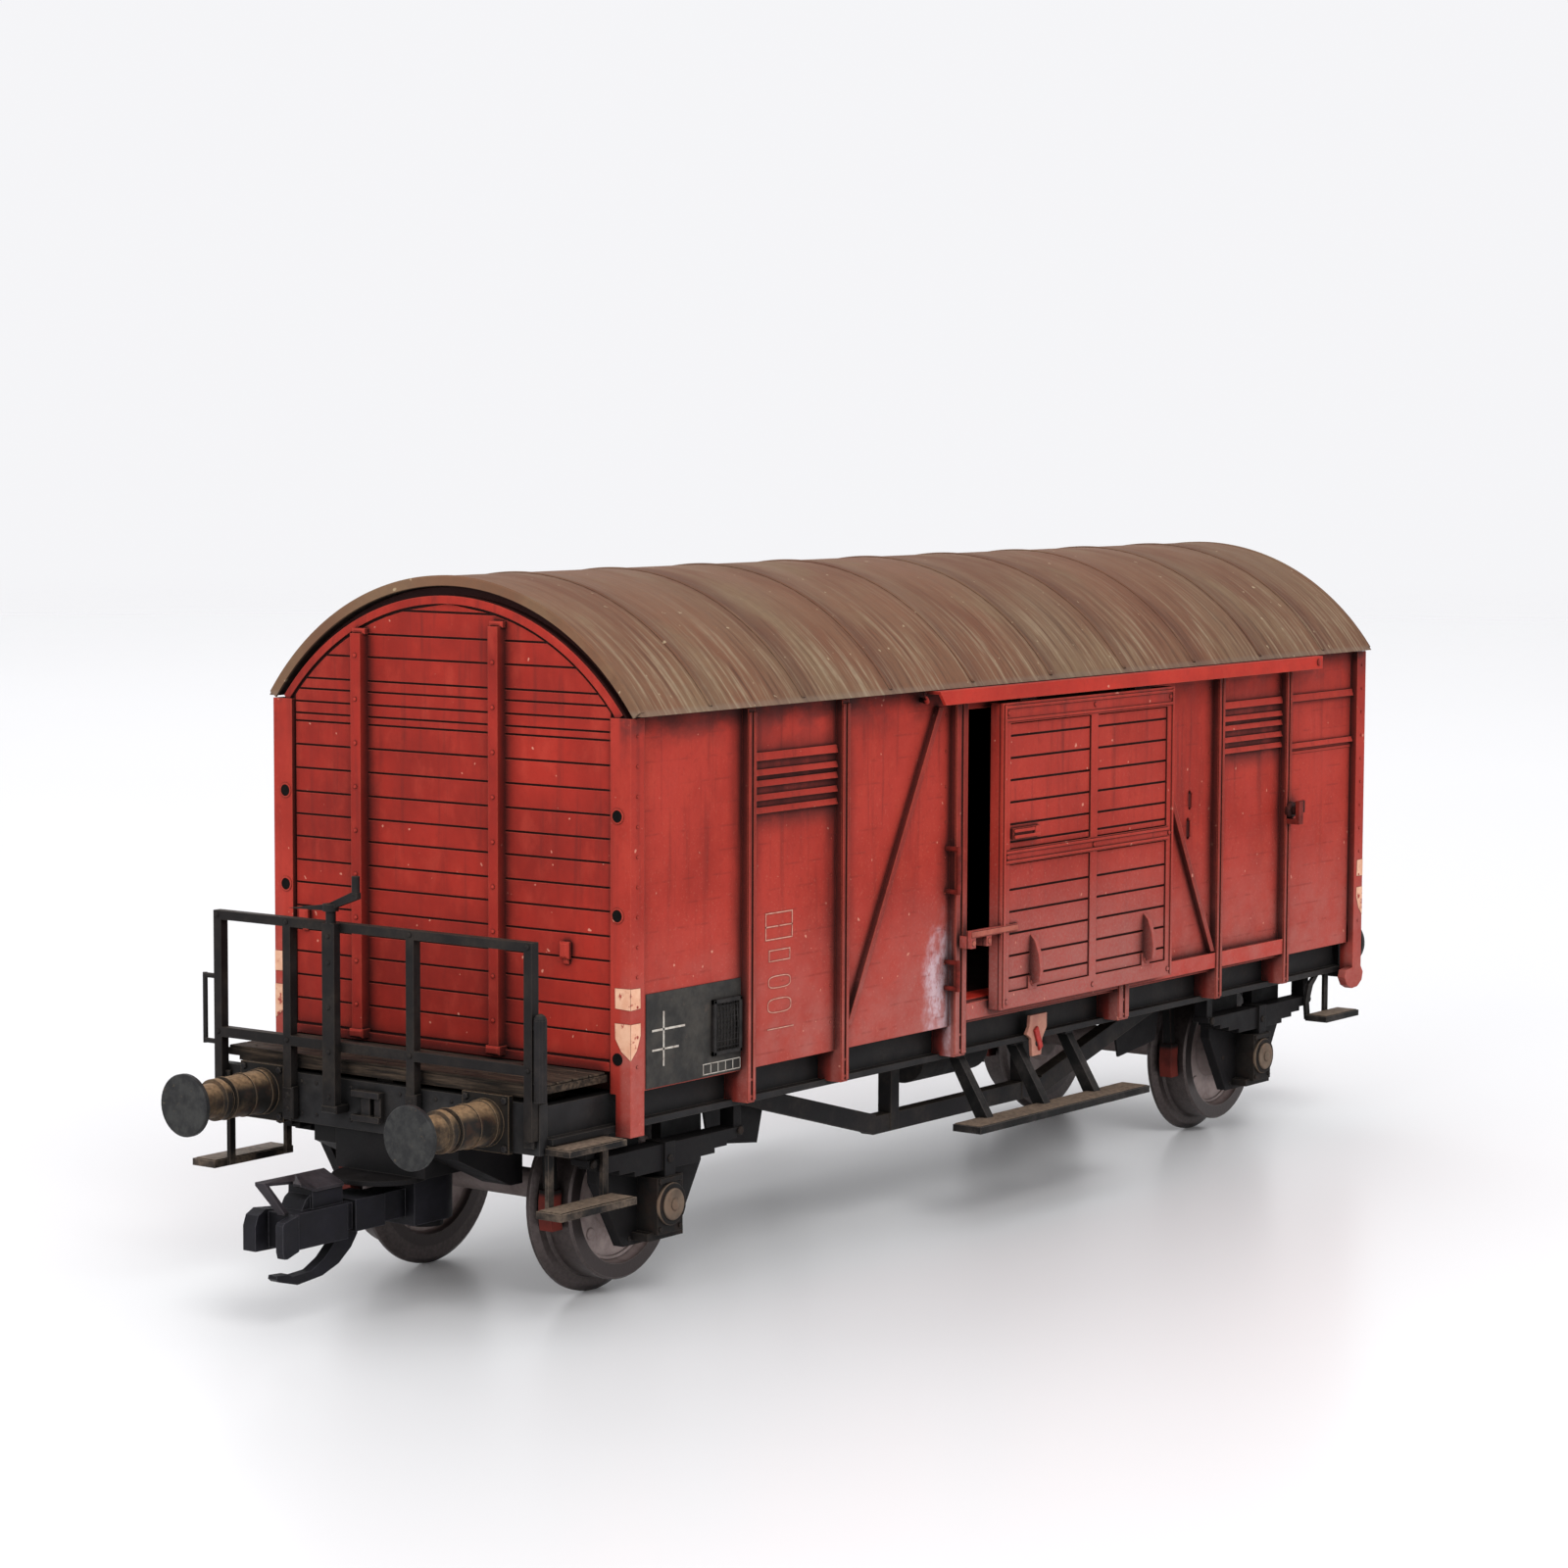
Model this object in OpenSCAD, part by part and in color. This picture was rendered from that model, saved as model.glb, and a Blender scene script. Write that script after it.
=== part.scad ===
// Model two-axle covered goods wagon with a brakeman's platform, 12 mm gauge, 1:120.
// Millimetres. +X runs along the wagon, the platform is at -X, z = 0 is the bottom of the wheel flanges.

/* [Body] */
// platform-end face of the box
body_x0 = -33.6; // [-36:0.1:-30]
// plain-end face of the box
body_x1 = 38.9; // [36:0.1:40]
// half width over the side sheets
side_y = 11.26; // [10.5:0.01:12]
// wall thickness of sides and ends
wall_t = 0.9; // [0.6:0.05:1.5]
// lower edge of the side sheets
side_z0 = 11.07; // [10:0.01:12]
// stand-out of the posts
post_out = 0.4; // [0.2:0.05:0.6]
// width of a side post
post_w = 0.6; // [0.4:0.05:1]
// lower edge of the post feet
foot_z = 9.45; // [9:0.05:10.5]
// top face of the load floor
floor_z = 12.2; // [12:0.05:12.6]

/* [Doorway and doors] */
// left edge of the doorway on the near side
door_open_x0 = -5.1; // [-7:0.1:-4]
// right edge of the doorway on the near side
door_open_x1 = 10.4; // [9:0.1:12]
// lower edge of the doorway
door_open_z0 = 12.3; // [12:0.05:13]
// upper edge of the doorway
door_open_z1 = 28.0; // [27:0.1:28.5]
// left edge of the door leaf as it stands
door_x0 = -3.1; // [-6:0.1:0]
// width of the door leaf
door_w = 17.8; // [16.5:0.1:19]
// lower edge of the door leaf
door_z0 = 11.7; // [11.4:0.1:12]
// upper edge of the door leaf
door_z1 = 28.3; // [28:0.1:28.4]
// distance of the leaf's back from the centre plane
door_back_y = 11.8; // [11.75:0.01:12]
// thickness of the leaf's panel
door_t = 0.6; // [0.4:0.05:0.8]
// thickness with the frame
door_frame_t = 0.8; // [0.6:0.05:1]

/* [Roof] */
// outer radius of the roof sheet
roof_r = 14.77; // [14:0.01:16]
// top of the roof
roof_top = 35.7; // [35:0.05:36.5]
// thickness of the roof sheet
roof_t = 0.5; // [0.4:0.05:0.8]
// height of the roof's lower edges
eave_z = 29.3; // [29:0.05:29.6]

/* [Running gear] */
// distance between the axles
wheelbase = 58.4; // [56:0.1:60]
// flange radius
flange_r = 4.95; // [4.7:0.05:5.2]
// tread radius
tread_r = 4.15; // [4:0.05:4.5]
// distance between the wheels' inner faces
back_to_back = 10.2; // [10.1:0.05:10.4]
// width of a wheel over flange and tread
wheel_w = 2.3; // [2:0.05:2.5]
// flange thickness
flange_t = 0.7; // [0.5:0.05:0.9]
// radius of the axle between the wheels
axle_r = 0.75; // [0.6:0.05:1]
// radius of the journals
journal_r = 0.5; // [0.4:0.05:0.6]
// radial play of the journals in the axle boxes
journal_play = 0.05; // [0.02:0.01:0.1]

/* [Underframe] */
// outer face of the headstocks
head_x = 39.2; // [38.5:0.1:40]
// half width of the headstocks
head_y = 10.4; // [10:0.1:10.8]
// half width over the solebar flanges
sole_y = 10.7; // [10.2:0.1:11]
// lower edge of the solebars
sole_z0 = 9.2; // [9:0.05:9.6]
// thickness of the underframe plate
pan_t = 0.4; // [0.3:0.05:0.6]
// lower face of the underframe plate
pan_z0 = 10.2; // [10.05:0.05:10.4]
// thickness of the steel weight
weight_t = 0.8; // [0.4:0.05:0.8]

/* [Buffers and couplings] */
// distance of the buffer faces from the middle
buffer_x = 45; // [44:0.1:46]
// half spacing of the buffers
buffer_y = 7.29; // [7:0.01:7.5]
// height of the buffers
buffer_z = 10.1; // [9.5:0.05:10.5]
// radius of the buffer heads
buffer_r = 1.55; // [1.4:0.05:2]
// distance of the coupling pivots from the middle
pivot_x = 35.6; // [35:0.1:37]
// distance of the coupling tips from the middle
tip_x = 47.2; // [46.5:0.1:48.5]

/* [Platform] */
// outer face of the railing
rail_x = 39.7; // [39.5:0.05:40]
// half width of the railing
rail_y = 10.35; // [9.8:0.05:10.6]
// top of the railing
rail_z1 = 18.95; // [18:0.05:20]
// top face of the deck
deck_z = 11.95; // [11.5:0.05:12.3]

/* [Hidden] */
body_c = (body_x0 + body_x1) / 2;
roof_c = roof_top - roof_r;
roof_ri = roof_r - roof_t;
post_y = side_y + post_out;
pan_z1 = pan_z0 + pan_t;
weight_z1 = pan_z1 + weight_t;
ax = wheelbase / 2;
wheel_y0 = back_to_back / 2;
wheel_y1 = wheel_y0 + wheel_w;
guard_y0 = 8.5;
guard_y1 = 9.1;
door_x1 = door_x0 + door_w;
front_y = door_back_y + door_t;
frame_y = door_back_y + door_frame_t;
e = 0.01;

// a box from its two corners
module bx(a, b) { translate(a) cube([b[0] - a[0], b[1] - a[1], b[2] - a[2]]); }
// a box on the near side: x from, x to, distance from the centre plane from, to, z from, z to
module nb(x0, x1, d0, d1, z0, z1) { bx([x0, -d1, z0], [x1, -d0, z1]); }
// the far side is the near side turned about the middle of the body
module far() { translate([2 * body_c, 0, 0]) rotate([0, 0, 180]) children(); }
// both ends about the middle of the wheelbase, by half a turn
module both_ends() { children(); rotate([0, 0, 180]) children(); }
// both sides of the same end
module both_sides() { children(); mirror([0, 1, 0]) children(); }
// a plate with its outline in x and z, from one distance to another on the near side
module xz(d0, d1) { translate([0, -d0, 0]) rotate([90, 0, 0]) linear_extrude(d1 - d0) children(); }
// a plate with its outline in y and z, from one x to another
module yz(x0, x1) { translate([x0, 0, 0]) rotate([90, 0, 90]) linear_extrude(x1 - x0) children(); }
// a rod between two points
module rod(a, b, r) {
  d = b - a; h = norm(d);
  translate(a) rotate([0, acos(d[2] / h), atan2(d[1], d[0])]) cylinder(h = h, r = r, $fn = 12);
}

// ---------------------------------------------------------------- body
module load_floor() color([0.62, 0.2, 0.15])
  bx([body_x0 + wall_t, -(side_y - wall_t), weight_z1], [body_x1 - wall_t, side_y - wall_t, floor_z]);

// side sheet with its doorway; its top leans under the roof sheet
module side_sheet() color([0.66, 0.24, 0.18]) difference() {
  yz(body_x0 + wall_t, body_x1 - wall_t) polygon([
    [-side_y, side_z0], [-(side_y - wall_t), side_z0],
    [-(side_y - wall_t), roof_c + sqrt(roof_ri * roof_ri - (side_y - wall_t) * (side_y - wall_t)) - 0.03],
    [-side_y, roof_c + sqrt(roof_ri * roof_ri - side_y * side_y) - 0.03]]);
  nb(door_open_x0, door_open_x1, side_y - wall_t - 1, side_y + 1, door_open_z0, door_open_z1);
}
module side_wall_near() side_sheet();
module side_wall_far() far() side_sheet();

// side posts: x of the centre, width, foot only
posts = [[-24.3, post_w, false], [-16.3, post_w, false], [-5.68, 1.05, false], [10.98, 1.05, false],
         [21.6, post_w, false], [29.6, post_w, false]];
// braces: x at the foot, x at the head
braces = [[-15.75, -7.5], [21.05, 12.8]];
module side_posts() color([0.6, 0.2, 0.15]) {
  for (p = posts) {
    nb(p[0] - p[1] / 2, p[0] + p[1] / 2, side_y, post_y, foot_z, eave_z - 0.1);
    // foot's outer strip and the gusset behind it over the solebar's flange
    nb(p[0] - p[1] / 2, p[0] + p[1] / 2, sole_y + 0.02, side_y + e, foot_z, side_z0);
    nb(p[0] - p[1] / 2, p[0] + p[1] / 2, 10.22, sole_y + 0.03, sole_z0 + 0.34, side_z0);
  }
  for (b = braces)
    xz(side_y, post_y - 0.05) polygon([[b[0] - 0.2, 12.3], [b[0] + 0.2, 12.3], [b[1] + 0.2, 28.3],
        [b[1] - 0.2, 28.3]]);
}
module side_posts_near() side_posts();
module side_posts_far() far() side_posts();

// louvre slats: x from, x to, height of the lower edge, height of the slat
slats = [for (s = [[-23.9, -16.7], [22.0, 29.2]]) for (z = [[26.5, 0.4], [25.75, 0.3], [25.2, 0.3],
    [24.5, 0.3], [23.85, 0.3]])
          [s[0], s[1], z[0], z[1]]];
extra = [[30.0, 38.0, 26.5, 0.4], [30.0, 38.0, 23.65, 0.3]];
module slat_set() for (s = concat(slats, extra))
  translate([s[0], 0, 0]) rotate([90, 0, 90]) linear_extrude(s[1] - s[0])
    polygon([[-side_y, s[2]], [-(side_y + 0.22), s[2]], [-(side_y + 0.12), s[2] + s[3]],
        [-side_y, s[2] + s[3]]]);
module louvres() color([0.6, 0.21, 0.16]) { slat_set(); far() slat_set(); }

// end wall: arched sheet, lining up to the roof, ledge; posts: y from, y to, top
module end_arch(r, zc, z0) intersection() {
  translate([0, zc]) circle(r = r, $fn = 180);
  translate([-side_y, z0]) square([2 * side_y, 30]);
}
module end_sheet(posts) color([0.64, 0.23, 0.17]) {
  // built at the plain end, outer face at x = 0, inwards is -x
  yz(-wall_t / 2, 0) end_arch(14.03, 20.72, 12.1);
  yz(-wall_t, -wall_t / 2 + e) end_arch(roof_ri - 0.03, roof_c, side_z0);
  for (p = posts) bx([-e, p[0], 12.45], [0.7, p[1], p[2]]);
}
module end_wall_plain() translate([body_x1, 0, 0]) end_sheet([[4.45, 5.1, 33.1], [-5.1, -4.45, 33.1]]);
module end_wall_platform() translate([body_x0, 0, 0]) rotate([0, 0, 180]) end_sheet([[-6, -5.35, 32.7],
    [3.05, 3.65, 33.35]]);

// angle posts round the corners, with a bracket foot
module corner_post(s) {
  // s = 1 at the plain end, -1 at the platform end; near side
  x = s > 0 ? body_x1 : body_x0;
  difference() {
    union() {
      bx([min(x - s * 0.75, x + s * 0.3), -post_y, 9.0], [max(x - s * 0.75, x + s * 0.3), -side_y,
          eave_z - 0.1]);
      bx([min(x, x + s * 0.3), -side_y - e, side_z0 - 0.03], [max(x, x + s * 0.3), -(side_y - 0.86),
          eave_z - 0.1]);
      bx([min(x - s * 0.75, x + s * 0.3), -side_y - e, 9.0], [max(x - s * 0.75, x + s * 0.3),
          -(sole_y + 0.04), side_z0 - 0.02]);
      // rounded bracket under the plain end's posts
      if (s > 0) xz(side_y - 0.1, post_y) polygon([[37.3, 9.4], [37.15, 8.95], [37.5, 8.45], [38.1, 8.2],
          [38.8, 8.25], [39.35, 8.6], [39.5, 9.1], [39.2, 9.5], [38.15, 9.5]]);
    }
  }
}
module corner_posts() color([0.66, 0.22, 0.17]) both_sides() { corner_post(1); corner_post(-1); }

// roof sheet
module roof() color([0.38, 0.33, 0.3])
  yz(body_x0 - 0.05, body_x1 + 0.05) difference() {
    intersection() { translate([0, roof_c]) circle(r = roof_r, $fn = 180);
        translate([-20, eave_z]) square([40, 20]); }
    translate([0, roof_c]) circle(r = roof_ri, $fn = 180);
  }

// ---------------------------------------------------------------- doors
module door_leaf() color([0.6, 0.22, 0.17]) {
  nb(door_x0, door_x1, door_back_y, front_y, door_z0, door_z1);
  // frame: x from, x to, z from, z to
  for (f = [[door_x0, door_x1, door_z1 - 1.1, door_z1], [door_x0, door_x1, door_z0, door_z0 + 0.9],
            [door_x0, door_x0 + 0.75, door_z0, door_z1], [door_x1 - 0.75, door_x1, door_z0, door_z1],
            [door_x0 + 8.9, door_x0 + 9.6, door_z0, door_z1], [door_x0, door_x1, 19.55, 20.35]])
    nb(f[0], f[1], front_y - e, frame_y, f[2], f[3]);
  // curved fins of the lower rollers: x
  for (x = [door_x0 + 3.1, door_x0 + 14.9])
    yz(x - 0.15, x + 0.15) polygon([[-front_y + e, 12.7], [-frame_y - 0.55, 13.0], [-frame_y - 0.62, 13.7],
      [-frame_y - 0.5, 14.5], [-frame_y - 0.25, 15.2], [-front_y + e, 15.7]]);
  // hangers inside the upper rail
  for (x = [door_x0 + 2.2, door_x1 - 3.8]) nb(x, x + 1.6, door_back_y + 0.12, door_back_y + 0.47,
      door_z1 - e, 28.9);
  // hasp and latch bar over the left door post
  nb(door_x0 + 0.9, door_x0 + 3.6, front_y - e, frame_y + 0.12, 20.9, 21.5);
  nb(door_x0 - 3.0, door_x0 + 1.6, frame_y - 0.25, frame_y + 0.05, 15.9, 16.3);
  for (x = [door_x0 - 3.0, door_x0 - 1.5]) nb(x, x + 0.45, door_back_y + 0.1, frame_y + 0.05, 15.35, 16.0);
}
module door_near() door_leaf();
module door_far() far() door_leaf();

// upper rail, an upside-down channel in front of the posts, and the lower guide
module door_rails() color([0.45, 0.17, 0.13]) {
  xz(12.45, 12.65) polygon([[-9.2, 29.26], [-8.6, 28.5], [31.9, 28.5], [31.9, 29.26]]);
  xz(post_y, 12.46) polygon([[-9.2, 29.26], [-9.05, 29.08], [31.9, 29.08], [31.9, 29.26]]);
  // lower guide, let in between the posts: x from, x to
  for (g = [[-5.15, 10.45], [11.5, 21.3], [21.9, 29.3]]) nb(g[0] + 0.01, g[1] - 0.01, side_y, post_y, 11.3,
      12.2);
}
module door_rails_near() door_rails();
module door_rails_far() far() door_rails();

// ---------------------------------------------------------------- underframe
module underframe_plate() color([0.16, 0.15, 0.14]) bx([-head_x + 0.6, -9.5, pan_z0], [head_x - 0.6, 9.5,
    pan_z1]);
module steel_weight() color([0.45, 0.45, 0.47]) bx([-31, -9.2, pan_z1], [36, 9.2, weight_z1 - 0.02]);
module solebars() color([0.17, 0.16, 0.16]) both_sides() {
  x0 = -head_x + 0.6; x1 = head_x - 0.6; z1 = side_z0 - 0.04;
  yz(x0, x1) polygon([[-sole_y, sole_z0], [-9.51, sole_z0], [-9.51, z1], [-10.2, z1],
      [-10.2, sole_z0 + 0.32], [-sole_y, sole_z0 + 0.32]]);
}
module headstocks() color([0.15, 0.14, 0.14]) both_ends()
  bx([head_x - 0.6, -head_y, 8.75], [head_x, head_y, 11.2]);

// axle guards: two legs and a keeper, outline from the axle's middle
module guard() {
  xz(guard_y0, guard_y1) difference() {
    polygon([[-4.15, pan_z0], [-4.15, 6.4], [-2.1, 2.95], [2.1, 2.95], [4.15, 6.4], [4.15, pan_z0]]);
    polygon([[-0.9, pan_z0 + 1], [-0.9, 3.45], [0.9, 3.45], [0.9, pan_z0 + 1]]);
  }
}
module axle_guards() color([0.25, 0.22, 0.2]) both_sides() for (s = [-1, 1]) translate([s * ax, 0,
    0]) guard();

// leaf springs: half length and height of each leaf, longest first
leaves = [[6.2, 0.3], [5.6, 0.25], [4.8, 0.25], [3.8, 0.25], [2.6, 0.25]];
function sum_to(n) = n <= 0 ? 0 : leaves[n - 1][1] + sum_to(n - 1);
module spring() {
  for (i = [0 : len(leaves) - 1])
    nb(-leaves[i][0], leaves[i][0], guard_y1 + 0.08, 10.25, 7.95 - sum_to(i + 1),
        7.95 - sum_to(i) + (i > 0 ? e : 0));
  // buckle and end shackles
  nb(-0.4, 0.4, guard_y1 + 0.04, 10.4, 6.35, 8.05);
  for (s = [-1, 1]) nb(s * 5.85 - 0.3, s * 5.85 + 0.3, guard_y1 + 0.14, 10.1, 7.94, sole_z0);
}
module leaf_springs() color([0.24, 0.21, 0.19]) both_sides() for (s = [-1, 1]) translate([s * ax, 0,
    0]) spring();

// axle boxes with a bearing hole, cover and lug
module axle_box() difference() {
  union() {
    nb(-0.88, 0.88, guard_y0 + 0.02, guard_y1 + e, 3.5, 6.35);
    nb(-1.0, 1.0, guard_y1, 10.4, 3.5, 6.34);
    translate([0, -10.4 + e, flange_r]) rotate([90, 0, 0]) cylinder(h = 0.2, r = 1.03, $fn = 48);
    nb(-1.4, 1.4, guard_y1, 10.1, 3.2, 3.6);
  }
  translate([0, -10.0, flange_r]) rotate([-90, 0, 0]) cylinder(h = 3, r = journal_r + journal_play, $fn = 40);
}
module axle_boxes() color([0.33, 0.28, 0.24]) both_sides() for (s = [-1, 1]) translate([s * ax, 0,
    0]) axle_box();

// ---------------------------------------------------------------- wheelsets
module axle() color([0.3, 0.28, 0.27]) rotate([90, 0, 0]) {
  translate([0, 0, -wheel_y1]) cylinder(h = 2 * wheel_y1, r = axle_r, $fn = 40);
  translate([0, 0, -9.9]) cylinder(h = 19.8, r = journal_r, $fn = 40);
}
// wheel profile in radius and distance from the centre plane; the hub bore is the axle's own size
module wheel_profile() polygon([
  [axle_r, wheel_y0 + 0.1], [1.6, wheel_y0 + 0.1], [1.8, wheel_y0 + 0.45], [3.3, wheel_y0 + 0.45],
      [3.45, wheel_y0],
  [flange_r - 0.25, wheel_y0], [flange_r, wheel_y0 + 0.2], [flange_r, wheel_y0 + 0.4], [flange_r - 0.3,
      wheel_y0 + flange_t - 0.05],
  [tread_r + 0.1, wheel_y0 + flange_t], [tread_r, wheel_y0 + flange_t + 0.15], [tread_r, wheel_y1 - 0.1],
      [tread_r - 0.1, wheel_y1],
  [3.35, wheel_y1], [3.2, wheel_y1 - 0.7], [1.6, wheel_y1 - 0.7], [1.4, wheel_y1 - 0.05],
      [axle_r, wheel_y1 - 0.05]]);
module wheels() color([0.36, 0.32, 0.31]) both_sides() rotate([90, 0,
    0]) rotate_extrude($fn = 96) wheel_profile();
module axle_platform_end() translate([-ax, 0, flange_r]) axle();
module wheels_platform_end() translate([-ax, 0, flange_r]) wheels();
module axle_plain_end() translate([ax, 0, flange_r]) axle();
module wheels_plain_end() translate([ax, 0, flange_r]) wheels();

// ---------------------------------------------------------------- brakes
// a shoe and its hanger on each side of each wheel, outline from the axle's middle
module shoe() {
  xz(6.2, 7.0) intersection() {
    difference() { translate([0, flange_r]) circle(r = 5.1, $fn = 96);
        translate([0, flange_r]) circle(r = tread_r + 0.17, $fn = 96); }
    translate([3.2, 3.9]) square([3, 2.0]);
  }
  xz(6.35, 6.9) polygon([[4.4, 5.5], [4.85, 5.5], [5.3, pan_z0], [4.7, pan_z0]]);
}
module brake_shoes() color([0.45, 0.2, 0.16]) both_sides() for (s = [-1, 1]) translate([s * ax, 0, 0]) {
    shoe(); mirror([1, 0, 0]) shoe(); }
// beams across between the shoes, with the lugs they hang by
module brake_beams() color([0.13, 0.12, 0.12]) {
  for (s = [-1, 1]) {
    bx([s * 22.9 - 0.25, -6.1, 7.0], [s * 22.9 + 0.25, 6.1, 7.7]);
    bx([s * 22.9 - 0.24, -1.2, 7.69], [s * 22.9 + 0.24, 1.2, pan_z0]);
  }
}
// pull rod along the middle
module brake_rod() color([0.13, 0.12, 0.12]) bx([-22.64, -0.25, 7.15], [22.64, 0.25, 7.6]);
// cylinder with its two brackets and the arm to the rod
module brake_cylinder() color([0.13, 0.12, 0.12]) {
  translate([0.5, -3.6, 7.9]) rotate([0, 90, 0]) cylinder(h = 6.5, r = 1.55, $fn = 40);
  bx([2, -4.4, 8.2], [2.6, -2.8, pan_z0]); bx([5.2, -4.4, 8.2], [5.8, -2.8, pan_z0]);
  bx([2.9, -3.61, 7.62], [3.5, -0.3, 7.95]);
}
// plates the hangers of the shoes are fixed to, one toward the middle from each wheel
module brake_brackets() color([0.1, 0.1, 0.1]) both_sides() for (s = [-1, 1]) {
  xz(7.05, 7.19) polygon([[s * 21.9, 6.5], [s * 17.8, 6.0], [s * 17.2, 8.2], [s * 17.4, pan_z0],
      [s * 22.3, pan_z0], [s * 22.45, 8.75]]);
}

// truss bars under the solebars: outline in x and z
module truss() {
  for (s = [-1, 1]) xz(7.2, 8.0) polygon([[s * 8.4, 5.15], [s * 8.6, 5.25], [s * 24.6, 9.6],
      [s * 24.6, pan_z0], [s * 23.0, pan_z0], [s * 8.2, 6.22]]);
  xz(7.2, 8.0) polygon([[-8.45, 5.15], [8.45, 5.15], [8.3, 6.12], [-8.3, 6.12]]);
  for (s = [-1, 1]) nb(s * 6.5 - 0.38, s * 6.5 + 0.38, 7.2, 8.05, 5.2, pan_z0);
}
module truss_bars() color([0.25, 0.23, 0.22]) both_sides() truss();

// ---------------------------------------------------------------- steps
// hangers of the door step: x
step_hangers = [-3.2, 2.5, 7.7];
module door_step() {
  nb(body_c - 8.65, body_c + 8.65, 11.5, 13.3, 5.4, 5.78);
  for (x = step_hangers) yz(x - 0.3, x + 0.3) polygon([[-9.3, sole_z0 - 0.02], [-10.0, sole_z0 - 0.02],
      [-12.1, 5.77], [-12.1, 5.3], [-11.4, 5.3], [-11.3, 5.7]]);
}
module door_steps() color([0.24, 0.22, 0.21]) { door_step(); far() door_step(); }

module corner_steps_platform() color([0.36, 0.3, 0.25]) both_sides() {
  nb(-38.9, -34.6, 10.5, 12.0, 8.8, 9.1);
  nb(-39.6, -33.9, 10.5, 12.05, 5.85, 6.2);
  for (x = [-38.5, -34.4]) nb(x - 0.2, x + 0.2, 10.3, 10.52, 5.9, 9.18);
}
module corner_steps_plain() color([0.14, 0.13, 0.13]) both_sides() {
  nb(34.3, 38.4, 10.5, 12.0, 6.5, 6.85);
  xz(10.3, 10.52) polygon([[34.5, 6.55], [34.9, 6.55], [34.75, 7.6], [35.2, 8.6], [35.9, 9.18],
      [35.4, 9.18], [34.7, 8.7], [34.35, 7.6]]);
  nb(36.7, 37.1, 10.3, 10.52, 6.55, 9.18);
}

// ---------------------------------------------------------------- platform
module platform_deck() color([0.42, 0.36, 0.3]) {
  bx([-38.9, -10.2, deck_z - 0.35], [body_x0 - 0.3, 10.2, deck_z]);
  bx([-38.9, -9.4, deck_z - 0.55], [body_x0 - 0.3, 9.4, deck_z - 0.34]);
  for (y = [-7, 0, 7]) bx([-38.5, y - 0.5, pan_z1], [body_x0 - 0.3, y + 0.5, deck_z - 0.54]);
}
// railing posts: y of the centre, lower end, width
rail_posts = [[-10.1, 9.5, 0.5], [-2.7, 10.2, 0.5], [5.4, 8.9, 0.5], [10.1, 9.5, 0.5]];
module platform_railing() color([0.22, 0.21, 0.2]) {
  for (p = rail_posts) bx([-rail_x, p[0] - p[2] / 2, p[1]], [-head_x, p[0] + p[2] / 2, rail_z1]);
  bx([-rail_x, -rail_y, rail_z1 - 0.45], [-head_x, rail_y, rail_z1]);
  bx([-rail_x, -rail_y, 12.6], [-head_x, rail_y, 13.1]);
}
module brake_column() color([0.2, 0.19, 0.18]) {
  bx([-rail_x - 0.45, 1.8, 9.7], [-rail_x, 2.6, rail_z1]);
  translate([-rail_x - 0.22, 2.2, rail_z1 - e]) cylinder(h = 0.6, r = 0.25, $fn = 24);
}
module brake_crank() color([0.2, 0.19, 0.18]) {
  zc = rail_z1 + 0.6;
  translate([-rail_x - 0.22, 2.2, zc - e]) cylinder(h = 0.35, r = 0.4, $fn = 24);
  yz(-rail_x - 0.37, -rail_x - 0.07) polygon([[2.2, zc], [4.9, zc - 0.05], [2.2, zc + 0.34]]);
  yz(-rail_x - 0.37, -rail_x - 0.07) polygon([[2.3, zc], [2.3, zc + 0.34], [0.75, zc + 1.0],
      [0.35, zc + 1.0], [0.35, zc + 0.7]]);
  translate([-rail_x - 0.22, 0.55, zc + 0.9]) cylinder(h = 0.9, r = 0.2, $fn = 20);
}

// handles: a bent wire from its two feet; x, y, z from, z to, direction of reach
module grab(x, y, z0, z1, d) {
  p = [x, y, z0]; q = [x, y, z1];
  rod(p, p + d, 0.13); rod(q, q + d, 0.13);
  rod(p + d - [0, 0, 0.13], q + d + [0, 0, 0.13], 0.13);
}
module door_handles() { grab(-6.5, -side_y, 18.4, 20.7, [-0.1, -0.9, 0]);
    grab(-6.5, -side_y, 13.2, 14.6, [-0.1, -0.9, 0]); }
module grab_handles() color([0.2, 0.17, 0.16]) {
  mirror([0, 1, 0]) grab(-39.5, -rail_y, 12.3, 15.6, [0, -0.8, 0]);
  // stout bar on the near side, on its two studs
  for (z = [12.3, 14.9]) rod([-39.5, -rail_y, z], [-39.5, -rail_y - 0.4, z], 0.13);
  rod([-39.5, -rail_y - 0.36, 11.4], [-39.5, -rail_y - 0.36, 15.3], 0.32);
  translate([-39.5, -rail_y - 0.36, 15.3]) sphere(r = 0.32, $fn = 12);
}
module door_post_handles() color([0.5, 0.17, 0.14]) { door_handles(); far() door_handles(); }

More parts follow.
